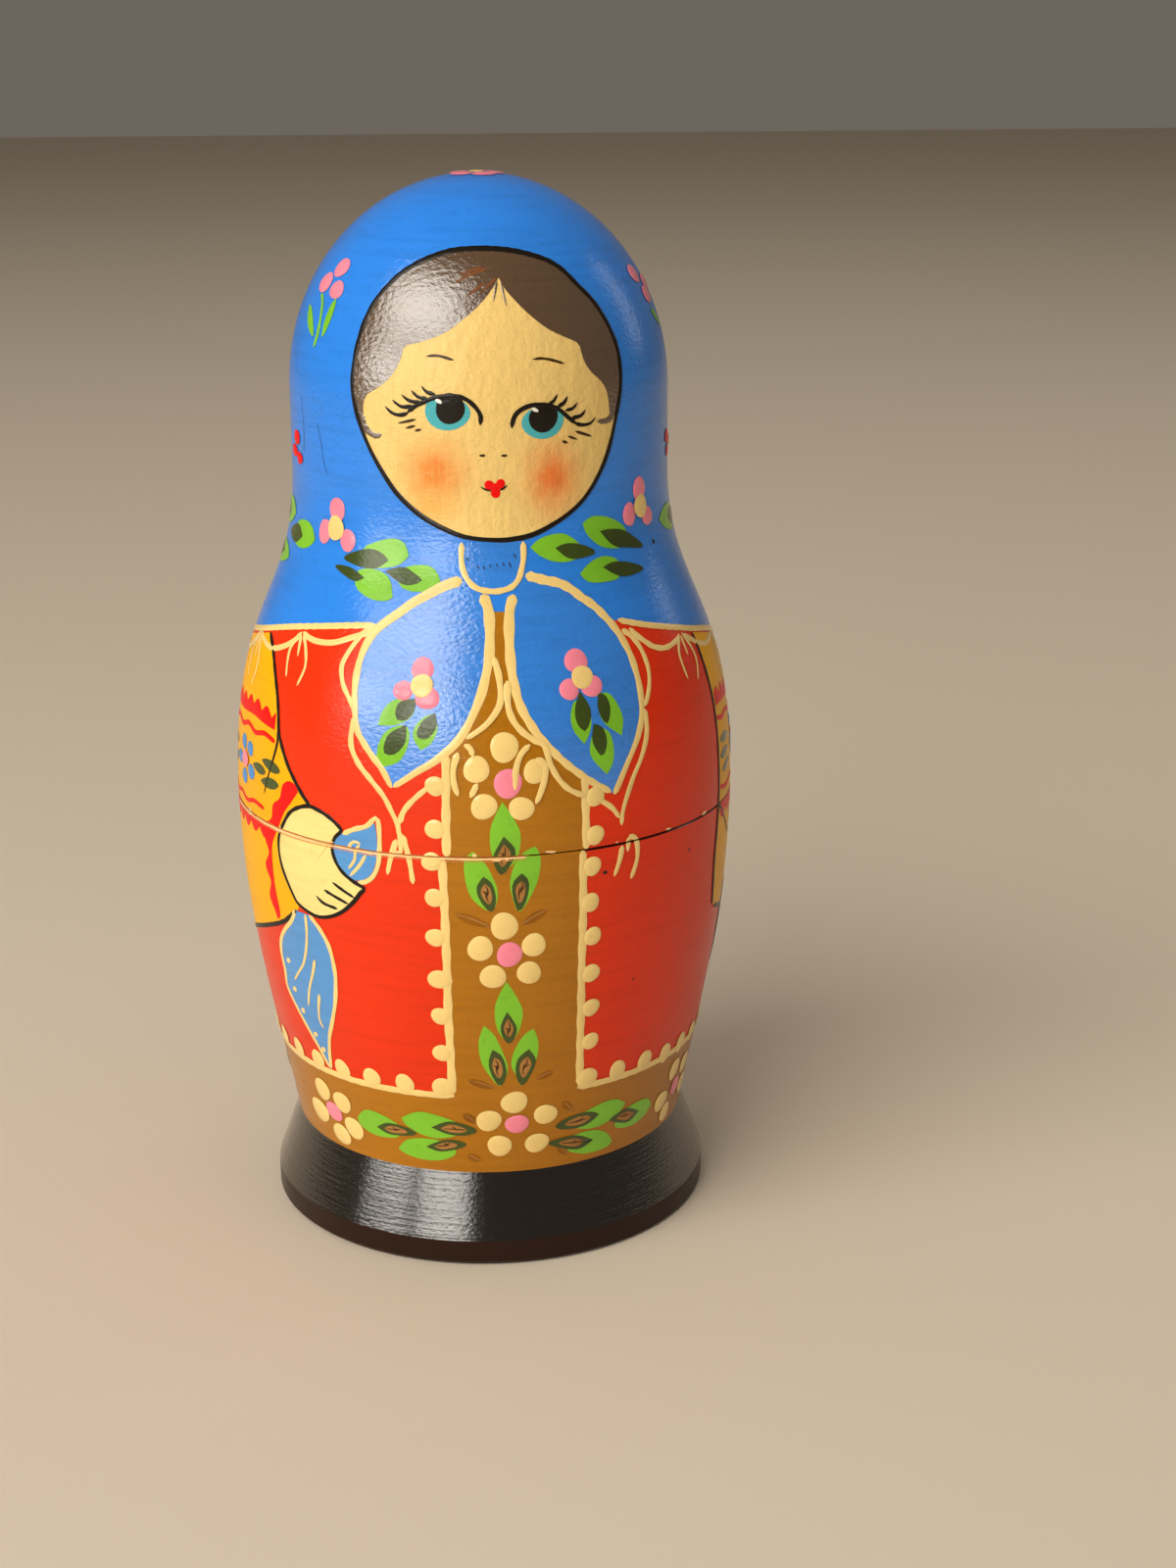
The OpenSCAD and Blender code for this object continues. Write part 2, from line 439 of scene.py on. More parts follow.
def lowerPaint(r, z, phi):
    seam, near = fig["seamZ"], shell["near"]
    if z < fig["standH"]:
        return "limeWood" if z < shell["footNear"] or r < fig["hemR"] - shell["footIn"] else standPaint(z)
    if r > fig["bellyR"] - shell["seamDeep"] and seam - fig["seamEdge"] - near < z < seam - near:
        return seamPaint(phi)
    if abs(r - sideR(z)) > shell["skin"] or z > seam - near:
        return "limeWood"
    return "panelBrown" if z < shell["hemTop"] else "coatRed"


def solidPaint(r, z, phi):
    if z < fig["standH"]:
        return "limeWood" if z < shell["footNear"] else standPaint(z)
    if z < fig["seamZ"]:
        return "panelBrown" if z < shell["hemTop"] else "coatRed"
    return "scarfBlue"


# brush work: every stroke is a thin sheet of paint laid on the turned surface
brushWork = {
    "smooth": 8,  # steps between two points of a line
    "across": ((-1, 0.0), (-0.62, 0.75), (0, 1.0), (0.62, 0.75), (1, 0.0)),  # place and height across a stroke
    "uneven": (0.1, 1.1), "thinnest": 0.3,
    "rings": (0.0, 0.45, 0.8, 1.0), "around": 22, "fewest": 9, "wobble": (0.035, 0.025), "drop": 2.6,
    "leafAcross": (-1, -0.5, 0, 0.5, 1), "leafStep": 0.8, "leafTip": 0.03, "leafLean": 0.85,
    "blobStep": 1.8, "loose": 30, "merge": 2e-7,
}


def between(a, b, share):
    return (a[0] + (b[0] - a[0]) * share, a[1] + (b[1] - a[1]) * share)


def centre(points):
    return (sum(p[0] for p in points) / len(points), sum(p[1] for p in points) / len(points))


def turned(points, turn, side=1):  # the same points elsewhere round the doll, side -1 mirrors them
    return [(turn + side * p[0], *p[1:]) for p in points]


def domed(share, body):  # height of a drop of paint from its middle to its edge
    return body * math.sqrt(max(0.0, 1 - share ** brushWork["drop"]))


def squareTo(a, b, z):  # a step of 1 mm square to the line from a to b, and the line's length
    wide = perDegree(z)
    du, dz = (b[0] - a[0]) * wide, b[1] - a[1]
    size = math.hypot(du, dz) or 1.0
    return -dz / size / wide, du / size, size


def fineLine(points, closed):
    n, steps = len(points), brushWork["smooth"]
    fine = []
    for i in range(n if closed else n - 1):
        p0 = points[(i - 1) % n] if closed or i > 0 else points[0]
        p1, p2 = points[i], points[(i + 1) % n]
        p3 = points[(i + 2) % n] if closed or i + 2 < n else points[-1]
        for k in range(steps):
            t = k / steps
            fine.append(tuple(0.5 * (2 * b + (c - a) * t + (2 * a - 5 * b + 4 * c - d) * t * t
                                     + (3 * b - a - 3 * c + d) * t ** 3)
                              for a, b, c, d in zip(p0, p1, p2, p3)))
    fine.append(tuple(points[0]) if closed else tuple(points[-1]))
    return fine


def lengths(line):
    reach = [0.0]
    for a, b in zip(line, line[1:]):
        reach.append(reach[-1] + math.hypot((b[0] - a[0]) * perDegree((a[1] + b[1]) / 2), b[1] - a[1]))
    return reach


def spaced(points, step=1.0, count=None, closed=False):  # even steps along a smooth line through the points
    fine = fineLine(points, closed)
    reach = lengths(fine)
    count = count or max(3, round(reach[-1] / step))
    out = []
    j = 0
    for i in range(count + 1):
        want = reach[-1] * i / count
        while j < len(reach) - 2 and reach[j + 1] < want:
            j += 1
        span = reach[j + 1] - reach[j]
        out.append(between(fine[j], fine[j + 1], (want - reach[j]) / span if span > 0 else 0.0))
    return out[:-1] if closed else out


class Brush:  # collects the strokes, paint by paint
    def __init__(self, cell, raised):
        self.cell = cell      # size of the steps, 1 for the largest doll
        self.raised = raised  # how far the sheets stand off, 1 for the largest doll
        self.sheets = {}
        self.loose = 0

    def gather(self):  # joins the loose sheets of each paint
        for colour, sheets in self.sheets.items():
            self.sheets[colour] = [joinAll(sheets, colour)]
        self.loose = 0

    def add(self, colour, rows):  # rows of points in metres
        bpy.ops.object.select_all(action="DESELECT")
        bpy.ops.mesh.primitive_grid_add(x_subdivisions=len(rows[0]) - 1, y_subdivisions=len(rows) - 1, size=1)
        patch = bpy.context.object
        patch.data.vertices.foreach_set("co", [c for row in rows for spot in row for c in spot])
        self.sheets.setdefault(colour, []).append(patch)
        self.loose += 1
        if self.loose > brushWork["loose"]:
            self.gather()

    def sheet(self, colour, rows, flip):
        rows = rows[::-1] if flip else rows
        self.add(colour, [[onDoll(phi, z, lift * self.raised) for phi, z, lift in row] for row in rows])

    def strip(self, colour, rows):  # rows from one end to the other
        k = len(rows) // 2
        (a, b), (c, d) = (rows[k][0], rows[k][-1]), (rows[k - 1][0], rows[min(k + 1, len(rows) - 1)][0])
        self.sheet(colour, rows, (b[0] - a[0]) * (d[1] - c[1]) - (b[1] - a[1]) * (d[0] - c[0]) < 0)

    def rings(self, colour, rows):  # rows from the middle to the edge
        area = sum(a[0] * b[1] - b[0] * a[1] for a, b in zip(rows[-1], rows[-1][1:]))
        self.sheet(colour, rows, area > 0)

    def loft(self, colour, left, right, lift, step=1.7):
        step *= self.cell
        count = max(4, round(max(lengths(left)[-1], lengths(right)[-1]) / step))
        edges = list(zip(spaced(left, count=count), spaced(right, count=count)))
        widest = max(math.hypot((q[0] - p[0]) * perDegree(p[1]), q[1] - p[1]) for p, q in edges)
        across = max(2, round(widest / step))
        self.strip(colour, [[(*between(p, q, i / across), lift) for i in range(across + 1)] for p, q in edges])

    def stroke(self, colour, points, width, lift=0.14, body=0.07, ends=(1.0, 1.0), step=0.8):
        line = spaced(points, step * self.cell)
        reach = lengths(line)
        total = reach[-1] or 1.0
        swing, pace = brushWork["uneven"]
        rows = []
        for i, (phi, z) in enumerate(line):
            nu, nz, _ = squareTo(line[max(0, i - 1)], line[min(len(line) - 1, i + 1)], z)
            w = width / 2 * (ends[0] + (ends[1] - ends[0]) * reach[i] / total)
            w *= 1 + swing * math.sin(reach[i] * pace + phi)
            near = min(reach[i], total - reach[i])
            if near < w:  # rounded ends
                w *= max(brushWork["thinnest"], math.sqrt(max(0.0, 1 - (1 - near / w) ** 2)))
            rows.append([(phi + nu * w * side, z + nz * w * side, lift + body * rise)
                         for side, rise in brushWork["across"]])
        self.strip(colour, rows)

    def blob(self, colour, outline, lift=0.12, body=0.0, middle=None, shrink=1.0, step=1.1):
        edge = spaced(outline[:1] + outline, step * self.cell, closed=True)  # the first point is a sharp tip
        middle = middle or centre(edge)
        edge = [between(middle, p, shrink) for p in edge]
        wide = perDegree(middle[1])
        far = max(math.hypot((p[0] - middle[0]) * wide, p[1] - middle[1]) for p in edge)
        count = max(2, round(far / (brushWork["blobStep"] * self.cell)))
        self.rings(colour, [[(*between(middle, p, k / count), lift + domed(k / count, body))
                             for p in edge + edge[:1]] for k in range(count + 1)])

    def turns(self):  # angles round a dot, the last on the first
        count = max(brushWork["fewest"], round(brushWork["around"] / self.cell))
        return [2 * math.pi * (i % count) / count for i in range(count + 1)]

    def dot(self, colour, phi, z, w, h, lift=0.14, body=0.2, tilt=0.0):
        wide = perDegree(z)
        c, s = math.cos(math.radians(tilt)), math.sin(math.radians(tilt))
        two, three = brushWork["wobble"]
        edge = []
        for a in self.turns():
            wobble = 1 + two * math.sin(2 * a + phi) + three * math.sin(3 * a + z)
            u, v = w * wide * math.cos(a) * wobble, h * math.sin(a) * wobble
            edge.append(((u * c - v * s) / wide, u * s + v * c))
        self.rings(colour, [[(phi + u * share, z + v * share, lift + domed(share, body)) for u, v in edge]
                            for share in brushWork["rings"]])

    def capDot(self, colour, x, y, w, h, turn, lift=0.14, body=0.18):  # a dab on the flat top of the head
        c, s = math.cos(turn), math.sin(turn)
        rows = []
        for share in brushWork["rings"][::-1]:
            row = []
            for a in self.turns():
                u, v = w * share * math.cos(a), h * share * math.sin(a)
                px, py = x + u * c - v * s, y + u * s + v * c
                out = math.hypot(px, py) / fig["headR"]
                z = fig["cheekZ"] + (fig["height"] - fig["cheekZ"]) * math.sqrt(max(0.0, 1 - out ** 2))
                row.append((px * mm, py * mm, (z + (lift + domed(share, body)) * self.raised) * mm))
            rows.append(row)
        self.add(colour, rows)

    def leaf(self, colour, tip, base, width, lift=0.13, body=0.04, fat=0.62):
        nu, nz, size = squareTo(tip, base, (tip[1] + base[1]) / 2)
        count = max(6, round(size / (brushWork["leafStep"] * self.cell)))
        rows = []
        for i in range(count + 1):
            t = i / count
            bulge = math.sin(math.pi * t ** brushWork["leafLean"])
            half = width / 2 * max(brushWork["leafTip"], bulge) ** fat
            phi, z = between(tip, base, t)
            rows.append([(phi + nu * half * s, z + nz * half * s, lift + body * (1 - s * s))
                         for s in brushWork["leafAcross"]])
        self.strip(colour, rows)

    def pieces(self, prefix):
        made = {}
        for colour, sheets in self.sheets.items():
            piece = joinAll(sheets, prefix + "_" + colour)
            editAll(piece)
            bpy.ops.mesh.remove_doubles(threshold=brushWork["merge"])
            bpy.ops.object.mode_set(mode="OBJECT")
            bpy.ops.object.shade_smooth()
            piece.data.materials.clear()
            piece.data.materials.append(finish[colour])
            made[colour] = piece
        return made


def layOn(brush, piece):  # paints the groups that a piece lists in its order
    # a row: kind, paint, group, then a stroke's width, lift, body, ends, step or a dot's lift, body, tilt
    kinds = {"stroke": brush.stroke, "dot": brush.dot, "leaf": brush.leaf}
    for kind, colour, key, *how in piece["order"]:
        for item in piece[key]:
            kinds[kind](colour, *([item] if kind == "stroke" else item), *how)


# the painting: places are angles from the front in degrees and heights in millimetres
heartUp = (0.34, 0.12)  # lift and body of a flower's middle dot, which lies over the petals
laceLine = [
    (-180, 112), (-150, 115.5), (-120, 121), (-95, 126.5), (-80, 129.2), (-60, 132.7), (-40, 135.2), (-33, 135.6),
    (-15, 136), (0, 136), (15, 136), (31, 135.4), (40, 133.4), (50, 131.5), (60, 129.6), (75, 126.9),
    (100, 121.5), (130, 116), (155, 113), (180, 112)]
ground = {"high": 44, "step": 1.9, "around": 180, "coat": 0.04, "cloth": 0.07}
panel = {
    "leftUpper": [(-14.2, 92), (-14.2, 112), (-9, 120), (-5.5, 130), (-5.8, 139)],
    "rightUpper": [(16.6, 92), (16.6, 107), (8, 120), (1, 130), (0, 139)],
    "leftLower": [(-15, 91.9), (-14.8, 75), (-15, 60), (-15, 36)],
    "rightLower": [(15.6, 91.9), (15.7, 75), (16.3, 60), (17.3, 45), (18, 36)],
    "edges": [
        [(-14, 92), (-14, 102), (-14, 112.5)], [(16.4, 92), (16.4, 100), (16.4, 107)],
        [(-15, 91.9), (-14.7, 75), (-14.9, 60), (-15, 45), (-15, 38.5)],
        [(15.6, 91.9), (15.8, 80), (15.9, 70), (16.3, 60), (16.9, 50), (17.5, 42), (17.8, 38.8)]],
    "edgeDots": [
        (-16.3, 106.3, 2.2, 2), (-16.4, 97.6, 2.2, 2), (-17.3, 90.9, 2.2, 2), (-16.8, 83.3, 2.2, 2),
        (-17, 74.7, 2.2, 2), (-16.5, 65.4, 2.8, 2.1), (-16.7, 57, 2.3, 2), (-17, 48.3, 2.3, 2),
        (-17.3, 40, 2.9, 2.3), (18.7, 102.6, 2.2, 2), (18.5, 94.7, 2.2, 2), (17.8, 88.3, 2.2, 2),
        (17.5, 80.6, 2.2, 2), (18.3, 73.1, 2.2, 2), (18.4, 64.8, 2.3, 2), (19, 56.8, 2.3, 2),
        (19.6, 48.8, 2.3, 2), (19.8, 40, 2.9, 2.3)],
    "petals": [
        (-1.3, 113.9, 3.2, 2.9), (-7.4, 109.7, 2.9, 2.6), (5.3, 108.9, 2.7, 2.4), (-5.9, 102.3, 2.8, 2.6),
        (2.1, 101.7, 2.7, 2.4), (-1.9, 77.3, 3.1, 2.9), (-7.2, 72.5, 2.9, 2.7), (4.6, 72.8, 2.8, 2.5),
        (-4.5, 66.2, 2.9, 2.7), (3.6, 66.7, 2.8, 2.5)],
    "hearts": [(-0.7, 106.8, 3.1, 2.9), (-0.8, 71, 2.9, 2.7)],
    "leaves": [  # pale leaf, dark heart
        ([(-2, 103.2), (-4, 99.5), (-4.7, 97), (-4.6, 93.5), (-3.2, 90), (-0.6, 89.8), (1.2, 92), (1.8, 96.5),
          (0.2, 100)],
         [(-1.8, 96.2), (-3.3, 93.8), (-4.2, 91.5), (-2.6, 88.2), (-0.4, 90.3), (0.7, 93.3)]),
        ([(-8.3, 93.2), (-10.2, 91.5), (-10.1, 87), (-8.5, 83), (-4.6, 80.6), (-3.2, 84.5), (-4.8, 89),
          (-6.5, 91.5)],
         [(-6.3, 88), (-7.8, 85.5), (-6.8, 82.5), (-4.6, 80.4), (-3.6, 83.2), (-4.5, 86.6)]),
        ([(5, 93.8), (6.1, 91.2), (5.4, 86.5), (3, 82), (1.2, 80.2), (0, 83), (-0.6, 86.8), (0.8, 91), (3, 93)],
         [(2, 88.4), (3.5, 86.6), (3, 82.8), (1.2, 80.3), (-0.1, 84.2), (0.2, 86.8)]),
        ([(-1.5, 65), (-3.4, 61.5), (-4.2, 58.5), (-3.9, 55), (-2.7, 52.4), (-0.8, 51), (1, 52.6), (2.1, 55.5),
          (2.2, 58.5), (0.5, 62)],
         [(-1.3, 58.1), (-2.8, 55), (-2.5, 52.5), (-0.8, 50.4), (0.6, 52.3), (0.9, 54.5)]),
        ([(-6.8, 55), (-8.1, 51), (-7.6, 46.5), (-5.8, 43.3), (-2.9, 40.4), (-1.1, 44.5), (-2.1, 48),
          (-4.4, 52.8)],
         [(-4.8, 49.3), (-5.8, 46.3), (-5, 43), (-2.9, 40.4), (-1.4, 43.5), (-2.5, 47.6)]),
        ([(5, 53.7), (6.3, 50), (5.6, 45.5), (2.6, 40.2), (1, 42.8), (-0.3, 45.5), (0.5, 49), (2.8, 52.5)],
         [(4, 49), (5.8, 45.7), (2.8, 40.3), (0.9, 43), (1.3, 46.8)])],
    "faintLeaves": [  # tip, base, width
        ((-12.5, 80), (-5, 77.3), 2.2), ((7.5, 80.2), (2, 77.5), 2.2), ((-11, 42), (-4.5, 40), 2),
        ((10.5, 43), (6, 41.5), 1.8), ((-12.6, 33.6), (-9.4, 31.4), 2), ((13.4, 35), (16.4, 32.6), 2),
        ((-12, 23.4), (-8.4, 21.8), 2), ((13, 24), (16.5, 21.6), 2)],
    "faintShare": 0.9, "ribBow": 0.3, "rib": {"width": 0.4, "lift": 0.13, "body": 0.0, "ends": (0.4, 1.0)},
    "order": [("stroke", "cream", "edges", 1.7, 0.12), ("dot", "cream", "edgeDots"), ("dot", "cream", "petals"),
              ("dot", "pink", "hearts")],
}
leafPaint = {"body": 0.02, "low": (0.1, 0.14), "high": (0.14, 0.17)}  # lift of the pale leaf and of its dark heart
worn = {
    "lift": 0.17, "shrink": 0.58,
    "ends": ((0, 0.45), (0.5, -0.3), (0.25, 0.2)),  # place on the outline, bend of the line
    "reach": (-0.15, 0.2, 0.5), "line": {"width": 0.32, "lift": 0.2, "body": 0.0, "ends": (1.2, 0.5)},
}
hem = {
    "line": 38.0, "lineWidth": 1.5, "spans": ((-180, -14.6), (17.2, 180)), "spanStep": 12,
    "dot": (2.6, 2.3), "dotZ": 39.9, "dip": (45, 70, 0.9),
    "dots": [
        -27.5, -37, -46.5, -56, -65.5, -75.5, -85, -94.4, -103.8, -113.2, -122.6, -132, -141.4, -150.8, -160.2,
        -169.6, 29, 38.5, 47.5, 56, 64.6, 74, 83.4, 92.8, 102.2, 111.6, 121, 130.4, 139.8, 149.2, 158.6, 168, 179],
    "flowers": [  # cream dots round a pink one
        ([(0.6, 36.3, 3.4, 2.7), (-6, 32, 3.3, 2.6), (9, 32.6, 3.2, 2.4), (-3.2, 25.7, 3.3, 2.6),
          (7, 25.7, 3.3, 2.4)],
         (1.4, 30.9, 3.1, 2.3)),
        ([(-57.3, 32.2, 3.4, 2.6), (-49.5, 31, 3.3, 2.6), (-61.3, 26, 4.2, 2.9), (-46.6, 25.3, 3.5, 2.6),
          (-52.5, 22.4, 3.8, 2.4)],
         (-54, 27.6, 3.3, 2.3)),
        ([(56, 32.4, 3.2, 2.5), (64, 31.5, 3.2, 2.5), (51, 26.1, 3.4, 2.4), (66.5, 25.8, 3.3, 2.5),
          (55, 22.3, 3, 2.2)],
         (59.5, 27.3, 3, 2.3))],
    "around": [(0, 0), (0, 1), (0, 2), (120, 0), (-120, 0), (180, 0)],  # turn, flower
    "leaves": [  # pale leaf, dark heart
        ([(-44.5, 28.5), (-41, 31.2), (-36, 31), (-31, 29.2), (-31, 26.4), (-35, 25.4), (-40, 25.4),
          (-43.6, 26.8)],
         [(-38, 27.6), (-34, 29.3), (-28, 28.8), (-26, 27.4), (-34, 26.4)]),
        ([(-29.8, 31.2), (-25, 33.3), (-20, 33), (-14, 31.2), (-14, 28.6), (-19, 27.2), (-24, 27.6),
          (-28.5, 29.4)],
         [(-21.5, 29.8), (-17, 31.6), (-13, 31.2), (-9, 29.6), (-12, 28.3), (-17, 28.4)]),
        ([(-32, 23.2), (-29, 25.8), (-24, 26.8), (-18, 26.4), (-15, 23.9), (-19, 21.8), (-25, 21.4), (-30, 22.2)],
         [(-23.5, 24.8), (-19, 26.7), (-15, 27), (-12, 25.8), (-19, 23.9)]),
        ([(33.8, 30.6), (30, 32.5), (25, 32.5), (18.5, 30.6), (17.6, 28.1), (22, 26.9), (27, 27), (32, 28.8)],
         [(25, 29.9), (22, 31.2), (16, 31), (11.8, 29.2), (15, 28), (21, 28)]),
        ([(31, 21.8), (28, 24.8), (23, 26.3), (17.4, 25.9), (15.4, 23), (19, 21.4), (23, 20.6), (29, 20.8)],
         [(24, 23.8), (18, 26), (10, 25.2), (19, 22.3)]),
        ([(45.5, 27), (43, 29.2), (38.5, 29.6), (33, 28.5), (31, 25.4), (37, 24), (42.6, 24.8)],
         [(40, 27), (35, 29), (30, 28.3), (29, 27.3), (36, 25.3)])],
    "leafTurns": (0, 119, -119), "outer": 40,  # turned groups leave out their outer leaf on one side
}
sleeves = {
    "leftFront": [
        (-72.5, 129.6), (-68, 127), (-64.5, 123.5), (-61.5, 119.5), (-59.8, 115.8), (-58.8, 112), (-57, 109),
        (-54.5, 105.7), (-51.5, 102.6), (-49, 100.3), (-47, 98.8), (-50, 90), (-53, 75.5)],
    "leftBack": [
        (-104, 123.6), (-107, 118), (-109, 110), (-110, 100), (-110.5, 90), (-110, 80), (-108, 70), (-104, 64.4),
        (-97, 61.6), (-90, 61.3), (-80, 64.3), (-70, 67.4), (-60, 71), (-54, 75)],
    "rightFront": [(59, 129), (61, 120), (62, 112), (62, 100), (61.5, 92), (60.3, 80), (62, 69.5)],
    "rightBack": [
        (103, 120.6), (106, 113), (107.5, 104), (108, 92), (107, 80), (104, 70), (97, 64.5), (88, 63), (75, 65.5),
        (64, 68.6)],
    "redBands": [
        [(-60.5, 113.6), (-66, 114), (-72, 114.5), (-80, 114), (-88, 113.6), (-98, 112), (-108, 110)],
        [(63, 114.4), (70, 114.4), (80, 113.6), (90, 112.6), (100, 111), (106.5, 109.6)]],
    "wavyLines": [
        [(-60, 109.6), (-65, 110.4), (-70, 109.6), (-75, 110.5), (-80, 109.4), (-86, 110), (-92, 108.6),
         (-98, 108.8), (-104, 107.2), (-109, 107)],
        [(62.8, 110.4), (67, 109.6), (72, 110.2), (78, 108.8), (84, 109.4), (90, 107.8), (97, 107.8), (106, 106)],
        [(-64.6, 94.6), (-70, 95), (-75, 94), (-80, 94.8), (-86, 93.8), (-92, 94.4), (-100, 93.6), (-109.5, 94)],
        [(62.6, 95.4), (68, 94.6), (74, 95.2), (80, 94.2), (88, 94.8), (97, 93.8), (107, 94)]],
    "seamBands": [
        [(-63.6, 90.2), (-70, 90.5), (-78, 90.2), (-88, 90.3), (-98, 90), (-110, 90)],
        [(62.4, 90.2), (70, 90.4), (80, 90), (92, 90), (107, 89.6)]],
    "petals": [
        (-77.7, 106, 2, 1.6), (-72.8, 105.5, 2, 1.6), (-81.2, 102, 2.3, 1.5), (-71.8, 100.8, 2.2, 1.6),
        (-76.8, 98.8, 2.2, 1.6), (82, 105.6, 2, 1.6), (86.6, 104.8, 2, 1.6), (78.6, 102, 2.2, 1.5),
        (88, 101, 2.2, 1.5), (83, 98.8, 2.2, 1.6)],
    "hearts": [(-76, 102.7, 2.5, 1.7), (83.2, 102.4, 2.5, 1.7)],
    "leaves": [  # tip, base, width
        ((-63.7, 102.5), (-70.5, 102.8), 2.2), ((-57.5, 104), (-65.5, 104.8), 2.4),
        ((-58, 101), (-66, 100.3), 2.4), ((-92, 99), (-84, 102), 2.4), ((-93, 104), (-85, 104.6), 2.4),
        ((64, 105.3), (72, 105), 2.3), ((63.4, 101.8), (71.5, 102.2), 2.3), ((65, 98.4), (73, 99.6), 2.2),
        ((98, 100.4), (91, 102.6), 2.3), ((98.5, 105), (91.5, 105), 2.3)],
    "creases": [
        [(-59.3, 112), (-59, 110), (-60, 107), (-62, 103), (-63.5, 100), (-64.3, 98)],
        [(62, 92), (66, 88.4), (72, 83)]],
    "bandWidth": 3.3, "scallop": 5.2, "scallopHigh": 1.8, "scallopUp": 0.3, "scallopStep": 0.6,
    "bandLift": (0.1, 0.14, 0.14, 0.1),
    "order": [("stroke", "lipRed", "wavyLines", 1.05, 0.11), ("dot", "petalBlue", "petals"),
              ("dot", "pink", "hearts", *heartUp), ("leaf", "leafDark", "leaves", 0.11),
              ("stroke", "black", "creases", 0.8, 0.12, 0.07, (1, 0.5))],
}
cuffs = {
    "leftInner": [
        (-51, 101), (-53.5, 98.3), (-55.5, 96.3), (-57, 94.3), (-58.6, 91.8), (-61.3, 88), (-62, 84), (-61.8, 78),
        (-61, 73.5), (-61.4, 71.4)],
    "leftOuter": [
        (-51.4, 102.2), (-54, 102.8), (-56.5, 101.4), (-57.6, 98.4), (-60.4, 96.6), (-61.2, 93.4), (-64, 91.6),
        (-64.6, 88), (-63.2, 85.6), (-65.6, 82.2), (-63.6, 79), (-65.2, 75.6), (-63.2, 72.4), (-62.6, 71)],
    "rightInner": [(79, 70.6), (84, 69.2), (90, 68.6), (97, 70.2), (102, 73.6)],
    "rightOuter": [(80, 73.4), (84.5, 71.6), (87.4, 72.6), (91, 71), (94.5, 72.9), (98, 72.4), (101.4, 76)],
}
hands = {
    "lift": {"left": 0.1, "right": 0.2},  # the right hand lies over the edge of its sleeve
    "left": [
        (-47, 98.8), (-44, 98.3), (-41, 97.2), (-38.5, 95.5), (-38.7, 94.8), (-40.3, 93.3), (-41, 91),
        (-40.2, 88.5), (-38.5, 86.5), (-36, 85), (-33.5, 84), (-33, 83.5), (-34, 82.8), (-36, 80.5), (-39, 78),
        (-42.5, 76.2), (-46.5, 75.3), (-50, 75.8), (-53, 76.8), (-54.2, 78), (-56.2, 80.8), (-58, 84),
        (-58.7, 87.5), (-58.2, 90.5), (-56, 93.8), (-53.5, 96.5), (-50, 98.2)],
    "right": [
        (80, 69.8), (78.5, 65), (78, 60), (79, 54.5), (82, 49), (85.5, 46), (88.5, 47), (91, 50), (94, 53),
        (97, 57), (98.4, 62), (98, 67), (95, 68.8), (90, 68), (85, 68.8)],
    "fingers": [
        [(-46.5, 79.9), (-44.5, 78.7), (-40.5, 78.2)], [(-44, 81.7), (-41, 80.8), (-37.5, 79.8)],
        [(-41.4, 83.8), (-39, 82.7), (-35.8, 81.4)], [(83, 55.5), (83.6, 52), (85, 48.6)],
        [(86.6, 56.5), (87.2, 53), (88, 49.4)], [(90.2, 58), (91, 55), (91.4, 52)]],
    "lineUp": 0.03,
}
kerchief = {
    "top": [
        (-40.8, 91.5), (-40, 93.5), (-37.5, 95), (-34.5, 95.8), (-32, 97), (-30.2, 98), (-29.6, 95.5),
        (-29.5, 92.5), (-30, 89.5), (-31.2, 87), (-33.5, 85.5), (-36, 85.3), (-38.5, 86.7), (-40.3, 89)],
    "topEdge": [
        [(-38, 94.6), (-35, 96), (-32, 97), (-30, 98.8), (-29.2, 98.5), (-28.9, 95.5), (-29, 92), (-29.5, 89),
         (-30.8, 86.6), (-32.8, 85.2), (-34.5, 85)]],
    "sides": [
        [(-54.5, 75), (-56.5, 72), (-59.5, 69.5), (-62.3, 66.5), (-63.5, 63), (-63.2, 59), (-63.8, 55.5),
         (-62, 52.5), (-59.5, 49.5), (-56.5, 46), (-54, 43), (-51.3, 39)],
        [(-49.5, 75), (-46.5, 72.5), (-44.2, 69), (-43.4, 64), (-43.8, 60), (-45, 55.5), (-47, 51), (-49, 47),
         (-50.3, 42.5), (-50.8, 39)]],
    "strokes": [
        [(-33.7, 93), (-34.8, 91.5), (-35.2, 89.5), (-36.8, 87.5)], [(-32.3, 91), (-34, 88.5), (-36.5, 86)],
        [(-36.8, 91.5), (-35.5, 93.3), (-33.5, 93.2)],
        [(-50.8, 75), (-51, 71), (-52, 67), (-54, 63), (-57, 60), (-59, 58)],
        [(-49.5, 65), (-51, 61.5), (-53.5, 57), (-55, 53)],
        [(-49.8, 57), (-51, 53.5), (-51.5, 50.5), (-50.5, 48.8)]],
    "dashes": [(-60.5, 62), (-60, 55.5), (-58, 51), (-54.5, 46.3), (-52.4, 43.2)],
    "dash": {"w": 0.9, "h": 0.6, "body": 0.06, "tilt": 35},
    "order": [("stroke", "cream", "topEdge", 1.0, 0.16), ("stroke", "cream", "sides", 1.0, 0.14, 0.07, (1.1, 0.9)),
              ("stroke", "cream", "strokes", 0.8, 0.16, 0.07, (1.0, 0.7))],
}
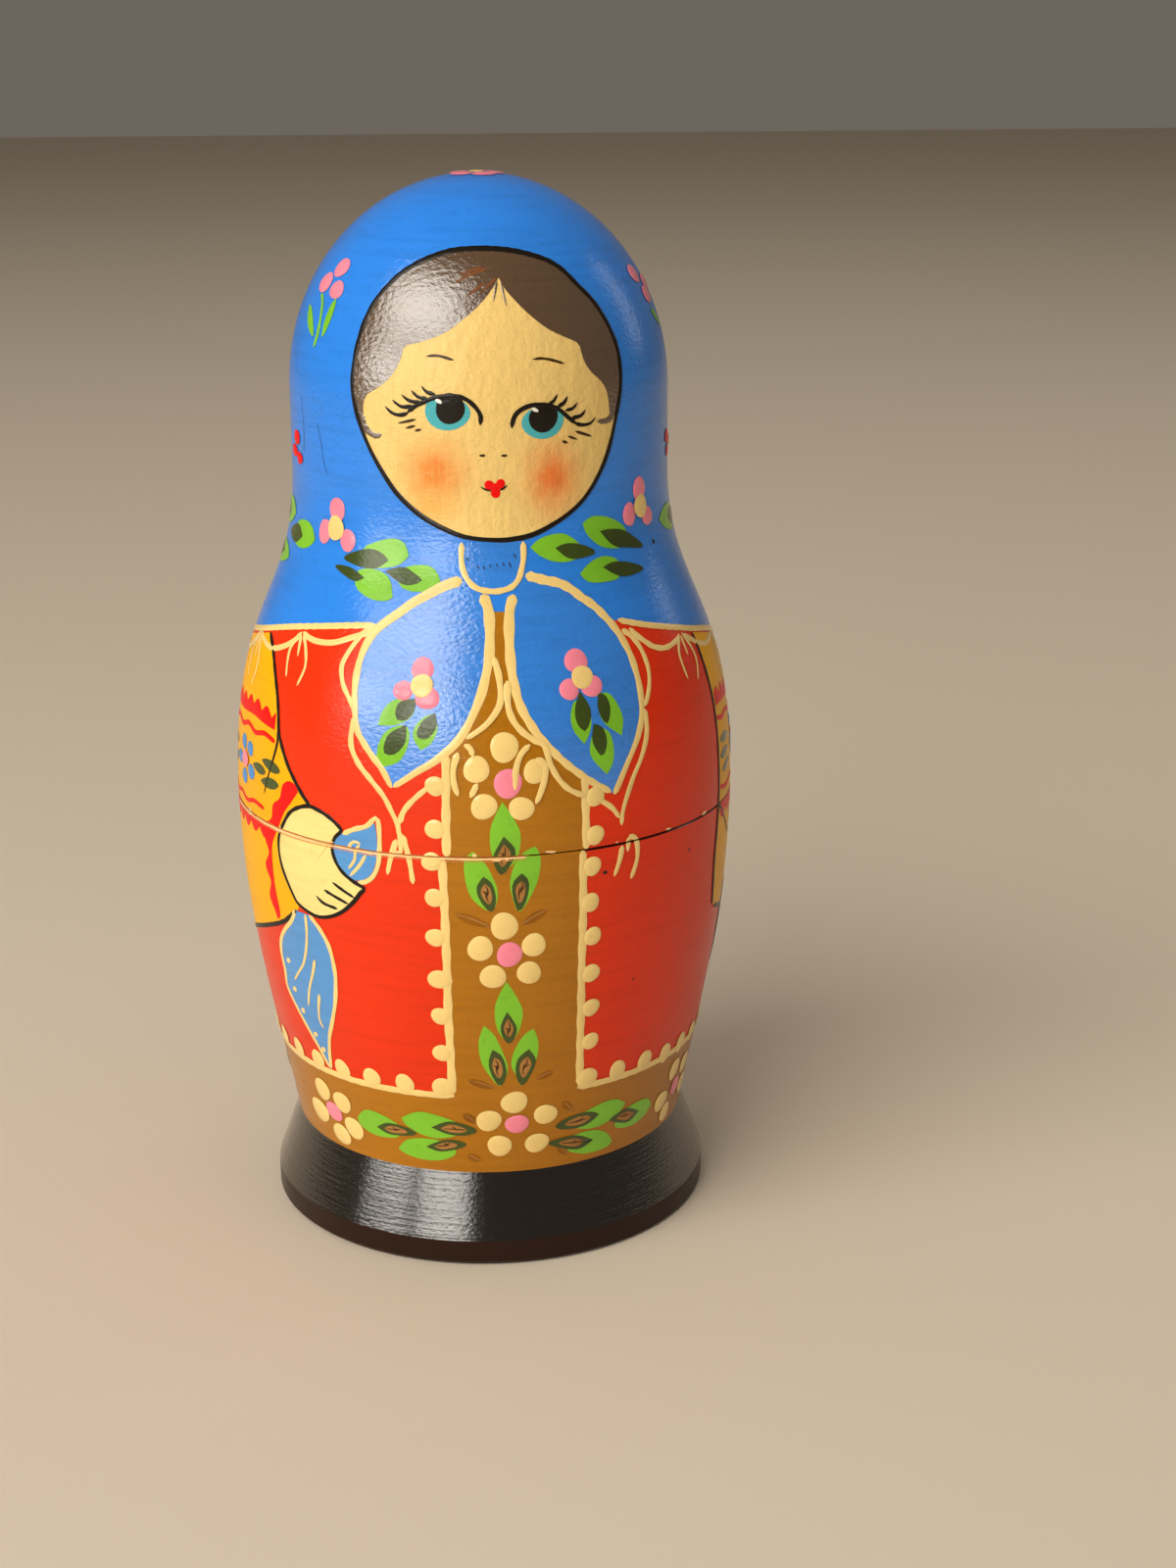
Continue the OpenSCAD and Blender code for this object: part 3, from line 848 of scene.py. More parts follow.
tails = {
    "left": [
        (-11, 144.9), (-14.2, 144.2), (-17, 143.3), (-20, 142.1), (-24.2, 140.3), (-27.5, 138.4), (-31.4, 136.2),
        (-33.7, 134.4), (-35.3, 131.9), (-36.2, 129.2), (-36.5, 126), (-36.3, 122.4), (-35.6, 118.8),
        (-34.8, 116), (-32.8, 113.5), (-30.6, 111.2), (-28.1, 108.7), (-26, 105.4)],
    "leftInner": [
        (-5.6, 142.2), (-4.2, 139.9), (-3.8, 136.9), (-3.9, 133.4), (-4.2, 130.5), (-5.1, 127.1), (-6.1, 124.1),
        (-7.7, 120.8), (-9.4, 117.8), (-11.4, 115.2), (-14, 112.9), (-17, 110.8), (-20.2, 109), (-23, 107.2),
        (-25.6, 105.6)],
    "right": [
        (6.4, 145.6), (8.9, 145), (12.1, 144.3), (15.3, 143.7), (18.6, 142.4), (21.6, 140.5), (24.6, 138.8),
        (27.4, 136.4), (29.6, 134), (31.1, 131.5), (32.2, 128.7), (32.8, 125.5), (33, 122.4), (32.8, 119.5),
        (32.3, 116.6), (31, 113.7), (29.4, 111.2), (27.4, 108.5), (25.4, 105.5), (23.4, 102.4)],
    "rightInner": [
        (2.9, 142), (1.6, 139.7), (1.1, 136.8), (0.9, 133.7), (0.9, 130.5), (1.2, 127), (1.9, 123.7), (3, 120.8),
        (4.8, 117.9), (6.8, 115.2), (9.4, 112.5), (12.1, 110), (15.2, 107.6), (18.6, 105.3), (22.6, 103)],
    "petals": [
        (-19.9, 128.5, 2.8, 2.1), (-24.2, 124.3, 2.3, 1.9), (-18.4, 123.1, 2.8, 2.1), (16.9, 129.1, 3.1, 2.2),
        (14.3, 124, 2.3, 2.1), (20, 124.1, 2.7, 2.1)],
    "hearts": [(-19.8, 125.4, 2.7, 2.1), (17.8, 126, 2.8, 2.1)],
    "leaves": [  # pale leaf, dark heart
        ([(-29.6, 117.4), (-28.9, 120), (-26.5, 122.3), (-23, 123), (-21, 121.5), (-22.4, 119), (-26, 117.6)],
         [(-21, 123), (-25, 122), (-25.5, 119), (-23, 118.8), (-21.2, 120.8)]),
        ([(-29.4, 109.2), (-29.5, 113), (-27.5, 116.5), (-23, 117.8), (-22.2, 114.8), (-24, 111), (-27.5, 109.5)],
         [(-23, 117.9), (-27, 115.8), (-28, 112.3), (-25.5, 112), (-23, 114.5)]),
        ([(-19.5, 113.2), (-21.3, 115.5), (-20.8, 118), (-17.5, 120.2), (-15.8, 118), (-17, 114.8)],
         [(-16.5, 120.5), (-19.5, 118.6), (-20.5, 115.8), (-18, 115.5), (-16, 118)]),
        ([(16.7, 113.3), (14.2, 116.5), (14.2, 120), (16, 122), (18.8, 118.5), (18.3, 115.5)],
         [(16.8, 123.5), (15.2, 120.5), (15.3, 117.5), (17.3, 115.8), (19, 119.5)]),
        ([(26.2, 113.8), (22, 116.8), (20.9, 119.8), (22, 122.5), (24.8, 121.8), (27, 117.5)],
         [(21.3, 122.7), (20.8, 119.5), (22.6, 116.5), (24, 119.3), (23.2, 122)]),
        ([(21.7, 106.7), (18.2, 110.5), (18.2, 113.5), (20, 116), (23, 115), (23.9, 111.5), (23.3, 108.5)],
         [(19.3, 117), (18.7, 113.5), (20.8, 110.4), (22.3, 113), (21.5, 116)])],
    "knot": [
        (-11.1, 152), (-11.2, 149), (-10.7, 146.8), (-9.3, 144.8), (-7, 143.4), (-3.8, 142.8), (-1, 142.8),
        (2.2, 143.4), (4.3, 144.8), (5.4, 146.8), (6.1, 149), (6.2, 152)],
    "knotMiddle": (-2.5, 148.5),
    "knotMarks": [
        (3.7, 149.6), (-9.5, 148.8), (-6.6, 147.6), (-5, 147.4), (-3.2, 147.5), (-1.4, 147.4), (0.4, 147.5),
        (2.2, 147.6)],
    "markWide": 0.22, "markSwing": 0.3, "mark": {"lift": 0.17, "body": 0.02, "tilt": 25},
    "order": [("dot", "pink", "petals"), ("dot", "cream", "hearts", *heartUp)],
}
thread = (1.15, 0.13, 0.07)  # width, lift, body
lace = {
    "scarfEdge": [laceLine[:8], laceLine[11:]],
    "left": [
        [(-34, 134.8), (-36.5, 134.2), (-38.9, 131.6), (-40.7, 128.8), (-41, 127), (-39.9, 124.3), (-37.9, 122),
         (-35.7, 119.5)],
        [(-35.7, 118.5), (-36.2, 115.5), (-36, 112.6), (-34.1, 109.5), (-31, 106.6), (-27.9, 103.6),
         (-25.9, 100.4), (-24.6, 97.9), (-24.4, 95.5)],
        [(-24.2, 98.3), (-23.3, 100.8), (-21.4, 103), (-19.2, 104.9), (-17, 106.5)],
        [(-25, 95), (-26.4, 91), (-27.3, 87.5)], [(-24.1, 96.6), (-24, 92)],
        [(-23.5, 96), (-22.2, 91), (-21.5, 86)]],
    "right": [
        [(31.5, 133.5), (34, 132), (36, 129.3), (36.8, 126), (36.4, 123.2), (35.1, 120.5), (33.6, 118.5)],
        [(33.5, 118), (33.5, 115), (32.8, 112), (30.9, 108.4), (28.8, 105.5), (27, 102.2), (25.5, 98.6),
         (25.1, 95.8)],
        [(18.7, 102.6), (20.7, 101.2), (22.8, 99.7), (24.6, 97.4)], [(25.3, 91.5), (24.6, 88.5), (23.3, 85.3)],
        [(27, 93), (26.7, 90)], [(27, 93.3), (29, 92), (29.3, 88), (27.7, 84)]],
    "middle": [
        [(-3.1, 130.9), (-2.4, 128.8), (-1.9, 126.5), (-1.8, 122.8), (-3.1, 120.4), (-5.3, 118.2), (-8, 116.5),
         (-9.5, 115.7)],
        [(-0.1, 126.4), (-0.2, 122), (0.8, 119), (2.8, 116.7), (5.5, 114.9), (7.5, 113.8), (8.6, 110.3),
         (10.1, 107.4), (12.3, 105), (15.1, 103.5), (16.3, 103.2)],
        [(-11.3, 113), (-12.3, 110), (-12.2, 107), (-11.3, 104.5)], [(-10, 114.5), (-8.8, 114), (-8, 112.3)],
        [(4.3, 114.2), (2.3, 112.5), (1.2, 110), (0.8, 107), (0.8, 105.5)],
        [(5.5, 111.5), (7.5, 110), (7.3, 107.5), (6.2, 104.5), (5.2, 102.5)], [(-7.2, 107), (-8.7, 104.2)]],
    "swags": [
        [(-34, 134.6), (-40, 132.9), (-45, 131.5), (-50, 131.1), (-54, 131.4), (-56.5, 132.1)],
        [(-57, 132), (-59, 130.2), (-63, 128.4), (-68, 127.2), (-72, 127.2), (-76, 127.9), (-79, 128.7)],
        [(34, 133.5), (36, 131.8), (40, 129.3), (44, 128.3), (48, 128.5), (52, 129.3)],
        [(53.5, 129.4), (57, 128), (61, 126.5), (65, 125.6), (69, 125.5), (73, 126), (76, 126.2)]],
    "swagEnds": [-79.5, -102, -124.5, -147, -169.5, 168, 145, 122, 99, 76],
    "tassels": [-57, -79.5, 52.5, 76, -102, -124.5, -147, -169.5, 168, 145, 122, 99],
    "tassel": [[(-0.6, -1.2), (-2.9, -4.4), (-2.8, -7), (-1.9, -10)], [(0, -1.6), (0.8, -5.6)],
               [(0.8, -1.2), (3.2, -4), (4.4, -7.2), (2.8, -11)]],
    "swagSteps": 6, "swagDrop": 0.7, "swagSag": 3.2,
    "order": [("stroke", "cream", "scarfEdge", *thread, (1.0, 1.0), 1.2),
              ("stroke", "cream", "left", *thread, (1.05, 0.85)), ("stroke", "cream", "right", *thread, (1.05, 0.85)),
              ("stroke", "cream", "middle", 1.265, 0.3, 0.07, (1.05, 0.85)),
              ("stroke", "cream", "swags", *thread, (1.05, 0.85))],
}
oval = [
    (-8, 207), (0, 207), (10, 206.4), (20, 204.9), (25.7, 203), (30, 200), (34.7, 196.6), (38.2, 192),
    (40, 187.8), (40.2, 184), (39.6, 179.8), (37.7, 174.8), (34.7, 168.5), (30.7, 163.5), (25.5, 159.3),
    (19, 156.2), (10, 153.4), (3, 152.5), (-3, 152.5), (-10, 153.1), (-15, 154.3), (-20, 155.9), (-24.5, 157.8),
    (-30, 161), (-34.4, 164.8), (-38.4, 169), (-41.5, 173.2), (-43.6, 177.2), (-44.7, 181.5), (-44.4, 186.7),
    (-43.8, 190), (-42.6, 193.8), (-40, 197.7), (-34.8, 201.6), (-29.6, 203.8), (-23.5, 205.4), (-16, 206.6)]
face = {
    "middle": (-1.5, 181), "rim": [oval + oval[:2]],
    "hairLeftOuter": [(-42.2, 174.4)] + oval[27:30] + oval[31:] + oval[:1] + [(1.7, 207)],
    "hairRightOuter": [(37.8, 175)] + oval[10:1:-1] + [(1.7, 207)],
    "hairLeftInner": [
        (-40.6, 174.6), (-40.7, 177.8), (-39.4, 179.8), (-36.3, 181.1), (-32.7, 182.8), (-30.2, 184.8),
        (-28.5, 187.1), (-27.7, 189.3), (-24, 190), (-20, 190.8), (-15, 192.2), (-10, 194.5), (-5, 197.1),
        (-1, 199.7), (1.7, 201.9)],
    "hairRightInner": [
        (35.2, 174.6), (34.6, 178), (33.8, 180.2), (31.9, 182), (29.5, 183.3), (27.3, 185), (26.1, 187),
        (25.3, 189.3), (21, 190.7), (16, 192.3), (11, 194.8), (7, 197.3), (3.4, 199.9), (1.7, 201.9)],
    "curls": [
        [(-41.4, 176), (-40.6, 173.9), (-38.8, 172.6), (-36.6, 172), (-34.6, 172.4)],
        [(36.6, 175.4), (35, 174.3), (32.8, 174), (30.4, 174.2)]],
    "parting": [[(1, 201.3), (-0.6, 197.5)], [(2.4, 200.8), (3.4, 196.8)]],
    "hairStrokes": [
        [(-13, 201), (-8, 202.4), (-2, 203.5)], [(-12, 202.3), (-4, 203.8)], [(-4.5, 199.3), (1, 201.8)],
        [(-9, 198.6), (-3, 201)]],
    "brows": [
        [(-20.8, 187.6), (-19, 187.8), (-16.5, 187.7), (-12.7, 187)],
        [(10.2, 186.9), (13, 187), (16, 186.6), (19.8, 185.8)]],
    "iris": [(-14.7, 177.1, 6.7, 3.25), (12.8, 175.0, 6.3, 3.3)],
    "pupil": [(-13.8, 177.9, 4.3, 2.9), (12.8, 175.7, 4.35, 2.75)],
    "light": [(-17, 179.3, 1.0, 0.38), (10.3, 177.4, 1.1, 0.34)],
    "lids": [
        [(-26.3, 177), (-24, 178.2), (-21, 179.2), (-18, 180), (-15, 180.3), (-12, 180.3), (-9.5, 179.8),
         (-7.5, 178.8), (-6, 177.6), (-5.2, 176.4), (-5.4, 174.8)],
        [(23, 174.2), (21, 175.2), (19, 176.4), (17, 177.4), (14.5, 178.1), (12, 178.3), (9.5, 178.3), (7, 177.8),
         (5, 176.9), (3.9, 175.6), (3.5, 174.1)]],
    "lashes": [
        [(-22, 182.1), (-20.5, 181), (-18, 180.6)], [(-25, 181.2), (-23, 180), (-20, 179.7)],
        [(-28, 180.3), (-25.5, 179.2), (-22, 179)], [(-30.8, 179.2), (-28, 178), (-24.5, 178.3)],
        [(-33.2, 177.9), (-31, 176.7), (-28.5, 176.4), (-26, 176.9)], [(17.2, 180.2), (15.8, 178.8), (14, 178.3)],
        [(20.3, 179.6), (19, 178.3), (17, 177.8)], [(23.5, 178.3), (22, 177.2), (19.5, 176.9)],
        [(26.2, 176.7), (24.5, 175.6), (21.5, 175.4)], [(29.7, 175.1), (28, 174), (25, 173.8), (22.5, 174.3)]],
    "under": [
        [(-29.2, 174.8), (-23.8, 175.7)], [(-27, 173.9), (-24, 174.5)], [(-24.2, 173.5), (-22.2, 173.8)],
        [(28.3, 171.4), (22.8, 172.7)], [(23.3, 171.1), (20.3, 171.9)], [(20.3, 170.6), (18.5, 171)]],
    "nose": [(-4.9, 168.9, 0.85, 0.28), (1.3, 168.8, 0.85, 0.28)],
    "mouth": [(-3.1, 163.1, 1.35, 1.0), (0.1, 163.3, 1.3, 1.0), (-1.3, 161.6, 1.4, 0.95), (-1.5, 162.7, 1.2, 0.8)],
    "corners": [[(-5.6, 162.9), (-4.2, 162.3), (-2.5, 162)], [(2, 163.1), (1, 162.5), (-0.2, 162.1)]],
    "order": [
        ("stroke", "hairBrown", "curls", 1.25, 0.1, 0.05, (1.4, 0.7)),
        ("stroke", "hairStroke", "hairStrokes", 0.6, 0.13, 0.04, (0.6, 1.0)),
        ("stroke", "hairBrown", "parting", 0.5, 0.13, 0.07, (1, 0.4)), ("stroke", "black", "rim", 0.95, 0.14),
        ("stroke", "browBrown", "brows", 0.6, 0.1, 0.03, (0.8, 0.9)), ("dot", "irisTeal", "iris", 0.1, 0.03),
        ("dot", "black", "pupil", 0.14, 0.04), ("dot", "white", "light", 0.2, 0.04, -25),
        ("stroke", "black", "lids", 1.05, 0.15, 0.05, (0.85, 0.8)),
        ("stroke", "black", "lashes", 0.84, 0.15, 0.04, (0.5, 1.1)),
        ("stroke", "browBrown", "under", 0.62, 0.12, 0.03, (0.7, 1)),
        ("dot", "browBrown", "nose", 0.1, 0.03), ("dot", "lipRed", "mouth", 0.12, 0.06),
        ("stroke", "black", "corners", 0.42, 0.2, 0.03, (0.7, 1))],
}
scarf = {
    "petals": [
        (-62.8, 202.6, 4.3, 1.75), (-69.3, 199.6, 4.3, 1.9), (-60, 198.6, 3.9, 1.7), (66.5, 200.5, 4.5, 1.7),
        (70.5, 196.3, 4.5, 1.7), (77, 198.5, 5, 1.6), (-52, 156.4, 3.4, 2.4), (-57, 151.7, 3, 2.4),
        (-47, 150.8, 3, 2.2), (48.5, 159.3, 3.4, 2.4), (43, 154.7, 3, 2.3), (52.2, 153.5, 3, 2)],
    "hearts": [(-52, 152.8, 3.5, 2.4), (48.5, 155.8, 3.4, 2.3)],
    "redDabs": [
        (-76.5, 168.7, 3, 1.5), (-79.5, 165.8, 3.3, 1.3), (-74.2, 164.7, 2.5, 1.3), (72.6, 167.6, 3, 1.4),
        (77, 166.4, 3, 1.3), (73.8, 164.4, 2.5, 1.2)],
    "stems": [[(-69, 197.5), (-66, 196), (-64, 193), (-63.5, 190), (-64.5, 187.5)]],
    "sprigLeaves": [  # tip, base, width
        ((-75.5, 195), (-66, 189.5), 2.2), ((-58.5, 197), (-60.5, 189.7), 2), ((68, 193.5), (76, 190), 2)],
    "leaves": [  # pale leaf, dark heart
        ([(-61.8, 149.4), (-64, 151.7), (-68.5, 152.7), (-75, 151.6), (-75.6, 147.8), (-70, 146.9),
          (-64.6, 147.8)],
         [(-69.7, 149.3), (-73, 151.2), (-77, 151), (-82, 149), (-75, 147.4)]),
        ([(-78, 153), (-82, 155.7), (-91, 155), (-91, 150), (-83, 150.8)],
         [(-85.5, 153), (-91, 154.6), (-97, 152.6), (-91, 150.6)]),
        ([(-78, 144), (-82, 146), (-91, 146.4), (-92, 142), (-83, 142.5)],
         [(-86, 144.4), (-92, 146), (-97.5, 144.6), (-92, 142.6)]),
        ([(-26.2, 149.2), (-28, 151.7), (-32, 152.2), (-37, 151.2), (-41, 149.6), (-38, 146.4), (-33, 146.5),
          (-28.5, 147.5)],
         [(-32.3, 148), (-35, 149.4), (-40, 149.7), (-48, 147.5), (-42, 146.2), (-36, 146.2)]),
        ([(-16.8, 144.6), (-18.5, 146.8), (-22, 147.6), (-28, 146.6), (-28.6, 143.7), (-25, 142.5), (-20, 142.8)],
         [(-33.3, 145.9), (-28, 147), (-24, 145.8), (-22, 144.5), (-27, 143.6)]),
        ([(-29.9, 141.1), (-31.5, 144.5), (-36, 146), (-42, 145.4), (-42, 142.4), (-37, 140.5), (-32, 140.3)],
         [(-39.5, 144.2), (-45, 145.8), (-51, 145.5), (-43, 143.3)]),
        ([(8.2, 150.8), (11, 152.3), (15, 153), (19, 152.8), (23, 150.8), (24.6, 148.8), (20, 147.5), (15, 147.7),
          (10.5, 149.2)],
         [(15.5, 150.3), (19, 151), (24, 150.4), (28.5, 148.6), (23, 147.8), (19, 148.2)]),
        ([(24.7, 154.5), (28, 155.6), (33, 155.2), (38, 153.7), (41, 151.6), (39, 149), (35, 148.7), (30, 149.7),
          (26, 152.2)],
         [(30.5, 152.5), (35, 152.6), (41, 151.5), (48, 147.8), (41, 148.3), (35, 149.3)]),
        ([(22.3, 144.9), (26, 146.8), (31, 147.6), (36, 146.3), (35.5, 143.2), (30, 142.7), (24.5, 143.2)],
         [(30, 145.5), (34, 146.2), (40, 145.5), (46, 143.7), (40, 143), (35, 143.4)]),
        ([(60, 151.8), (66, 153.8), (75, 153.4), (76, 149.4), (72, 148.2), (64, 149.6)],
         [(68.5, 151.2), (73, 152.8), (80, 151.4), (74, 149)])],
    # flowers and sprigs on the unseen side, laid like those on the shoulders and on the head
    "backTurns": [180, 122, -122], "backHeart": (0, 148, 3.2, 2.3), "backDark": 0.6,
    "backPetals": [(0, 152.4, 3.4, 2.4), (-5, 147.7, 3, 2.4), (5, 146.8, 3, 2.2), (0, 143.6, 3, 2.2)],
    "backLeaves": [((24, 149), (9, 147), 4.6), ((19, 140.6), (7, 143), 4.2), ((20, 156), (8, 151), 4.0)],
    "sprigTurns": [118, -118, 180], "sprigLeaf": ([(11, 195), (2, 189.5)], 2.2),
    "sprigPetals": [(0, 201.4, 4.3, 1.75), (-6, 198.2, 4.3, 1.8), (5, 197.6, 4, 1.7)],
    "sprigStem": [(0, 196), (2, 192), (1, 187.5)],
    "crown": {"petals": 5, "turn": 0.3, "reach": 4.0, "petal": (2.6, 1.9), "heart": (1.6, 1.6)},
    "order": [("dot", "pink", "petals"), ("dot", "cream", "hearts", *heartUp),
              ("dot", "lipRed", "redDabs", 0.14, 0.1), ("stroke", "leafGreen", "stems", 1.0, 0.1, 0.07, (0.8, 1)),
              ("leaf", "leafGreen", "sprigLeaves", 0.1)],
}
wear = {
    "wornLine": [
        (-84, 91.6), (-70, 91.75), (-55, 91.6), (-42, 91.8), (-30, 91.6), (-20, 91.75), (-8, 91.6), (3, 91.7)],
    "cracks": [[(-61, 173), (-59, 168.6), (-58, 165), (-56.5, 163)], [(-71, 178), (-70, 171), (-70.6, 166)]],
    "spots": [
        (21, 86.5, 0.55, 0.4), (46.5, 86, 0.4, 0.3), (54, 148, 0.7, 0.45), (-49, 52, 0.3, 0.3),
        (30.5, 61, 0.3, 0.25)],
    "rubbed": {"width": 0.75, "lift": 0.22, "body": 0.0, "ends": (0.8, 0.5), "step": 0.7},
    "shadow": {"width": 0.3, "lift": 0.2, "body": 0.0, "ends": (0.8, 0.4), "step": 0.7}, "shadowDrop": 0.5,
    "chips": 70, "chipStart": -178, "chipSpan": 358, "chipStray": (2.4, 2.3), "fewChips": (6, 120),
    "chipWide": (0.3, 0.9, 1.7), "chipHigh": (0.14, 0.26, 2.9), "chipTilt": 6, "chipUp": 0.42, "chipDown": -0.5,
    "order": [("stroke", "crack", "cracks", 0.24, 0.06, 0.0, (0.5, 0.6)), ("dot", "seamDark", "spots", 0.08, 0.0)],
}


def laceZ(phi):
    return along((phi + 180) % 360 - 180, laceLine, 0, 1)


def leafPair(brush, pale, dark, lifts, rubbedThrough):
    brush.blob("leafGreen", pale, lifts[0], leafPaint["body"])
    brush.blob("leafDark", dark, lifts[1], 0.0 if rubbedThrough else leafPaint["body"])
    if not rubbedThrough:
        return
    brush.blob("wornBrown", dark, worn["lift"], shrink=worn["shrink"])  # down to the brown, with rough lines left
    middle = centre(dark)
    for place, bend in worn["ends"]:
        start, half, end = [between(middle, dark[int(len(dark) * place)], share) for share in worn["reach"]]
        brush.stroke("browBrown", [start, (half[0] + bend, half[1]), end], **worn["line"])


def coatWork(brush):
    steps = max(6, round(ground["high"] / (ground["step"] * brush.cell)))
    columns = round(ground["around"] / brush.cell)
    turns = [-180 + 360 * k / columns for k in range(columns + 1)]
    brush.strip("coatRed", [[(phi, fig["seamZ"] + (laceZ(phi) - fig["seamZ"]) * i / steps, ground["coat"])
                             for phi in turns] for i in range(steps + 1)])
    for half in ("Upper", "Lower"):
        brush.loft("panelBrown", panel["left" + half], panel["right" + half], ground["cloth"])
    layOn(brush, panel)
    for pale, dark in panel["leaves"]:
        leafPair(brush, pale, dark, leafPaint["low"], True)
    for tip, base, width in panel["faintLeaves"]:
        brush.leaf("leafFaint", tip, base, width * panel["faintShare"], lift=0.09)
        phi, z = centre([tip, base])
        brush.stroke("wornBrown", [tip, (phi, z + panel["ribBow"]), base], **panel["rib"])


def hemWork(brush):
    for start, end in hem["spans"]:
        n = max(3, round((end - start) / hem["spanStep"]))
        brush.stroke("cream", [(start + (end - start) * k / n, hem["line"]) for k in range(n + 1)],
                     hem["lineWidth"], lift=0.12, step=1.5)
    low, high, dip = hem["dip"]
    for phi in hem["dots"]:
        brush.dot("cream", phi, hem["dotZ"] - (dip if low < phi < high else 0), *hem["dot"])
    for turn, n in hem["around"]:
        petals, heart = hem["flowers"][n]
        for spot in turned(petals, turn):
            brush.dot("cream", *spot)
        brush.dot("pink", *turned([heart], turn)[0])
    for turn in hem["leafTurns"]:
        for pale, dark in hem["leaves"]:
            if not (turn and abs(pale[0][0]) > hem["outer"] and pale[0][0] * turn < 0):
                leafPair(brush, turned(pale, turn), turned(dark, turn), leafPaint["low"], True)


def sleeveWork(brush):
    brush.loft("sleeveYellow", sleeves["leftBack"], sleeves["leftFront"], ground["cloth"])
    brush.loft("sleeveYellow", sleeves["rightFront"], sleeves["rightBack"], ground["cloth"])
    for line in (sleeves["leftFront"][:-2], sleeves["rightFront"], sleeves["leftBack"], sleeves["rightBack"]):
        brush.stroke("black", line, 1.0, lift=0.12)
    for key, side in (("redBands", 1), ("seamBands", -1)):  # bands with bumps along one side
        for line in sleeves[key]:
            crest = []
            for phi, z in spaced([(phi, z + side * sleeves["scallopUp"]) for phi, z in line], sleeves["scallopStep"]):
                bumps = abs(math.sin(math.pi * phi / sleeves["scallop"]))
                crest.append((phi, z + side * sleeves["scallopHigh"] * bumps))
            base = spaced([(phi, z - side * sleeves["bandWidth"] / 2) for phi, z in line], count=len(crest) - 1)
            brush.strip("lipRed", [[(*between(a, b, k / 3), lift) for k, lift in enumerate(sleeves["bandLift"])]
                                   for a, b in zip(base, crest)])
    layOn(brush, sleeves)
    for key in ("left", "right"):
        brush.loft("lipRed", cuffs[key + "Inner"], cuffs[key + "Outer"], 0.13, step=1.0)
    for key, lift in hands["lift"].items():
        brush.blob("handSkin", hands[key], lift)
        brush.stroke("black", hands[key] + hands[key][:2], 0.85, lift=lift + hands["lineUp"])
    for line in hands["fingers"]:
        lift = hands["lift"]["left" if line[0][0] < 0 else "right"]
        brush.stroke("black", line, 0.7, lift=lift + hands["lineUp"])
    brush.blob("kerchiefBlue", kerchief["top"], 0.13)
    brush.loft("kerchiefBlue", *kerchief["sides"], 0.1)
    layOn(brush, kerchief)
    for phi, z in kerchief["dashes"]:
        brush.dot("cream", phi, z, **kerchief["dash"])


def tailWork(brush):
    for side in ("left", "right"):
        outer, inside = tails[side], tails[side + "Inner"]
        brush.loft("scarfTails", *((outer, inside) if side == "left" else (inside, outer)), 0.1)
        brush.stroke("cream", outer, 1.5, lift=0.15, ends=(1.25, 0.8))
        brush.stroke("cream", inside, 1.65, lift=0.15, ends=(1.3, 0.75))
    layOn(brush, tails)
    for pale, dark in tails["leaves"]:
        leafPair(brush, pale, dark, leafPaint["high"], False)
    brush.blob("scarfTails", tails["knot"], 0.13, middle=tails["knotMiddle"])
    brush.stroke("cream", tails["knot"], 1.1, lift=0.17)
    swing = tails["markSwing"]
    for phi, z in tails["knotMarks"]:
        high = swing + swing * math.sin(2 * phi) ** 2
        brush.dot("crack", phi, z + swing * math.sin(3 * phi), tails["markWide"], high, **tails["mark"])


def laceWork(brush):
    layOn(brush, lace)
    steps = lace["swagSteps"]
    for a, b in zip(lace["swagEnds"], lace["swagEnds"][1:]):  # round the back
        b = b if b < a else b - 360
        line = []
        for k in range(steps + 1):
            phi = a + (b - a) * k / steps
            line.append((phi, laceZ(phi) - lace["swagDrop"] - lace["swagSag"] * math.sin(math.pi * k / steps)))
        brush.stroke("cream", line, *thread)
    for phi in lace["tassels"]:
        for line in lace["tassel"]:
            brush.stroke("cream", [(phi + u, laceZ(phi) + v) for u, v in line], 0.95, lift=0.13, ends=(1, 0.6))


def faceWork(brush):
    brush.blob("faceSkin", oval, 0.06, middle=face["middle"])
    brush.loft("hairBrown", face["hairLeftOuter"], face["hairLeftInner"], 0.1, step=1.3)
    brush.loft("hairBrown", face["hairRightInner"], face["hairRightOuter"], 0.1, step=1.3)
    layOn(brush, face)


def scarfWork(brush):
    layOn(brush, scarf)
    for pale, dark in scarf["leaves"]:
        leafPair(brush, pale, dark, leafPaint["low"], False)
    for turn in scarf["backTurns"]:
        for spot in turned(scarf["backPetals"], turn):
            brush.dot("pink", *spot)
        brush.dot("cream", *turned([scarf["backHeart"]], turn)[0], *heartUp)
        for side in (-1, 1):
            for tip, base, width in scarf["backLeaves"]:
                phi, z = centre([tip, base])
                heart = turned([(phi - 1, z), base], turn, side)
                brush.leaf("leafGreen", *turned([tip, base], turn, side), width, lift=0.1)
                brush.leaf("leafDark", *heart, width * scarf["backDark"], lift=0.14)
    leaf, width = scarf["sprigLeaf"]
    for turn in scarf["sprigTurns"]:
        for spot in turned(scarf["sprigPetals"], turn):
            brush.dot("pink", *spot)
        brush.stroke("leafGreen", turned(scarf["sprigStem"], turn), 1.0, lift=0.1)
        for side in (-1, 1):
            brush.leaf("leafGreen", *turned(leaf, turn, side), width, lift=0.1)
    crown = scarf["crown"]
    for k in range(crown["petals"]):
        turn = 2 * math.pi * k / crown["petals"] + crown["turn"]
        brush.capDot("pink", crown["reach"] * math.sin(turn), -crown["reach"] * math.cos(turn), *crown["petal"], turn)
    brush.capDot("cream", 0, 0, *crown["heart"], 0)


def waved(values, k):  # a size that changes from chip to chip
    least, more, pace = values
    return least + more * math.sin(k * pace) ** 2


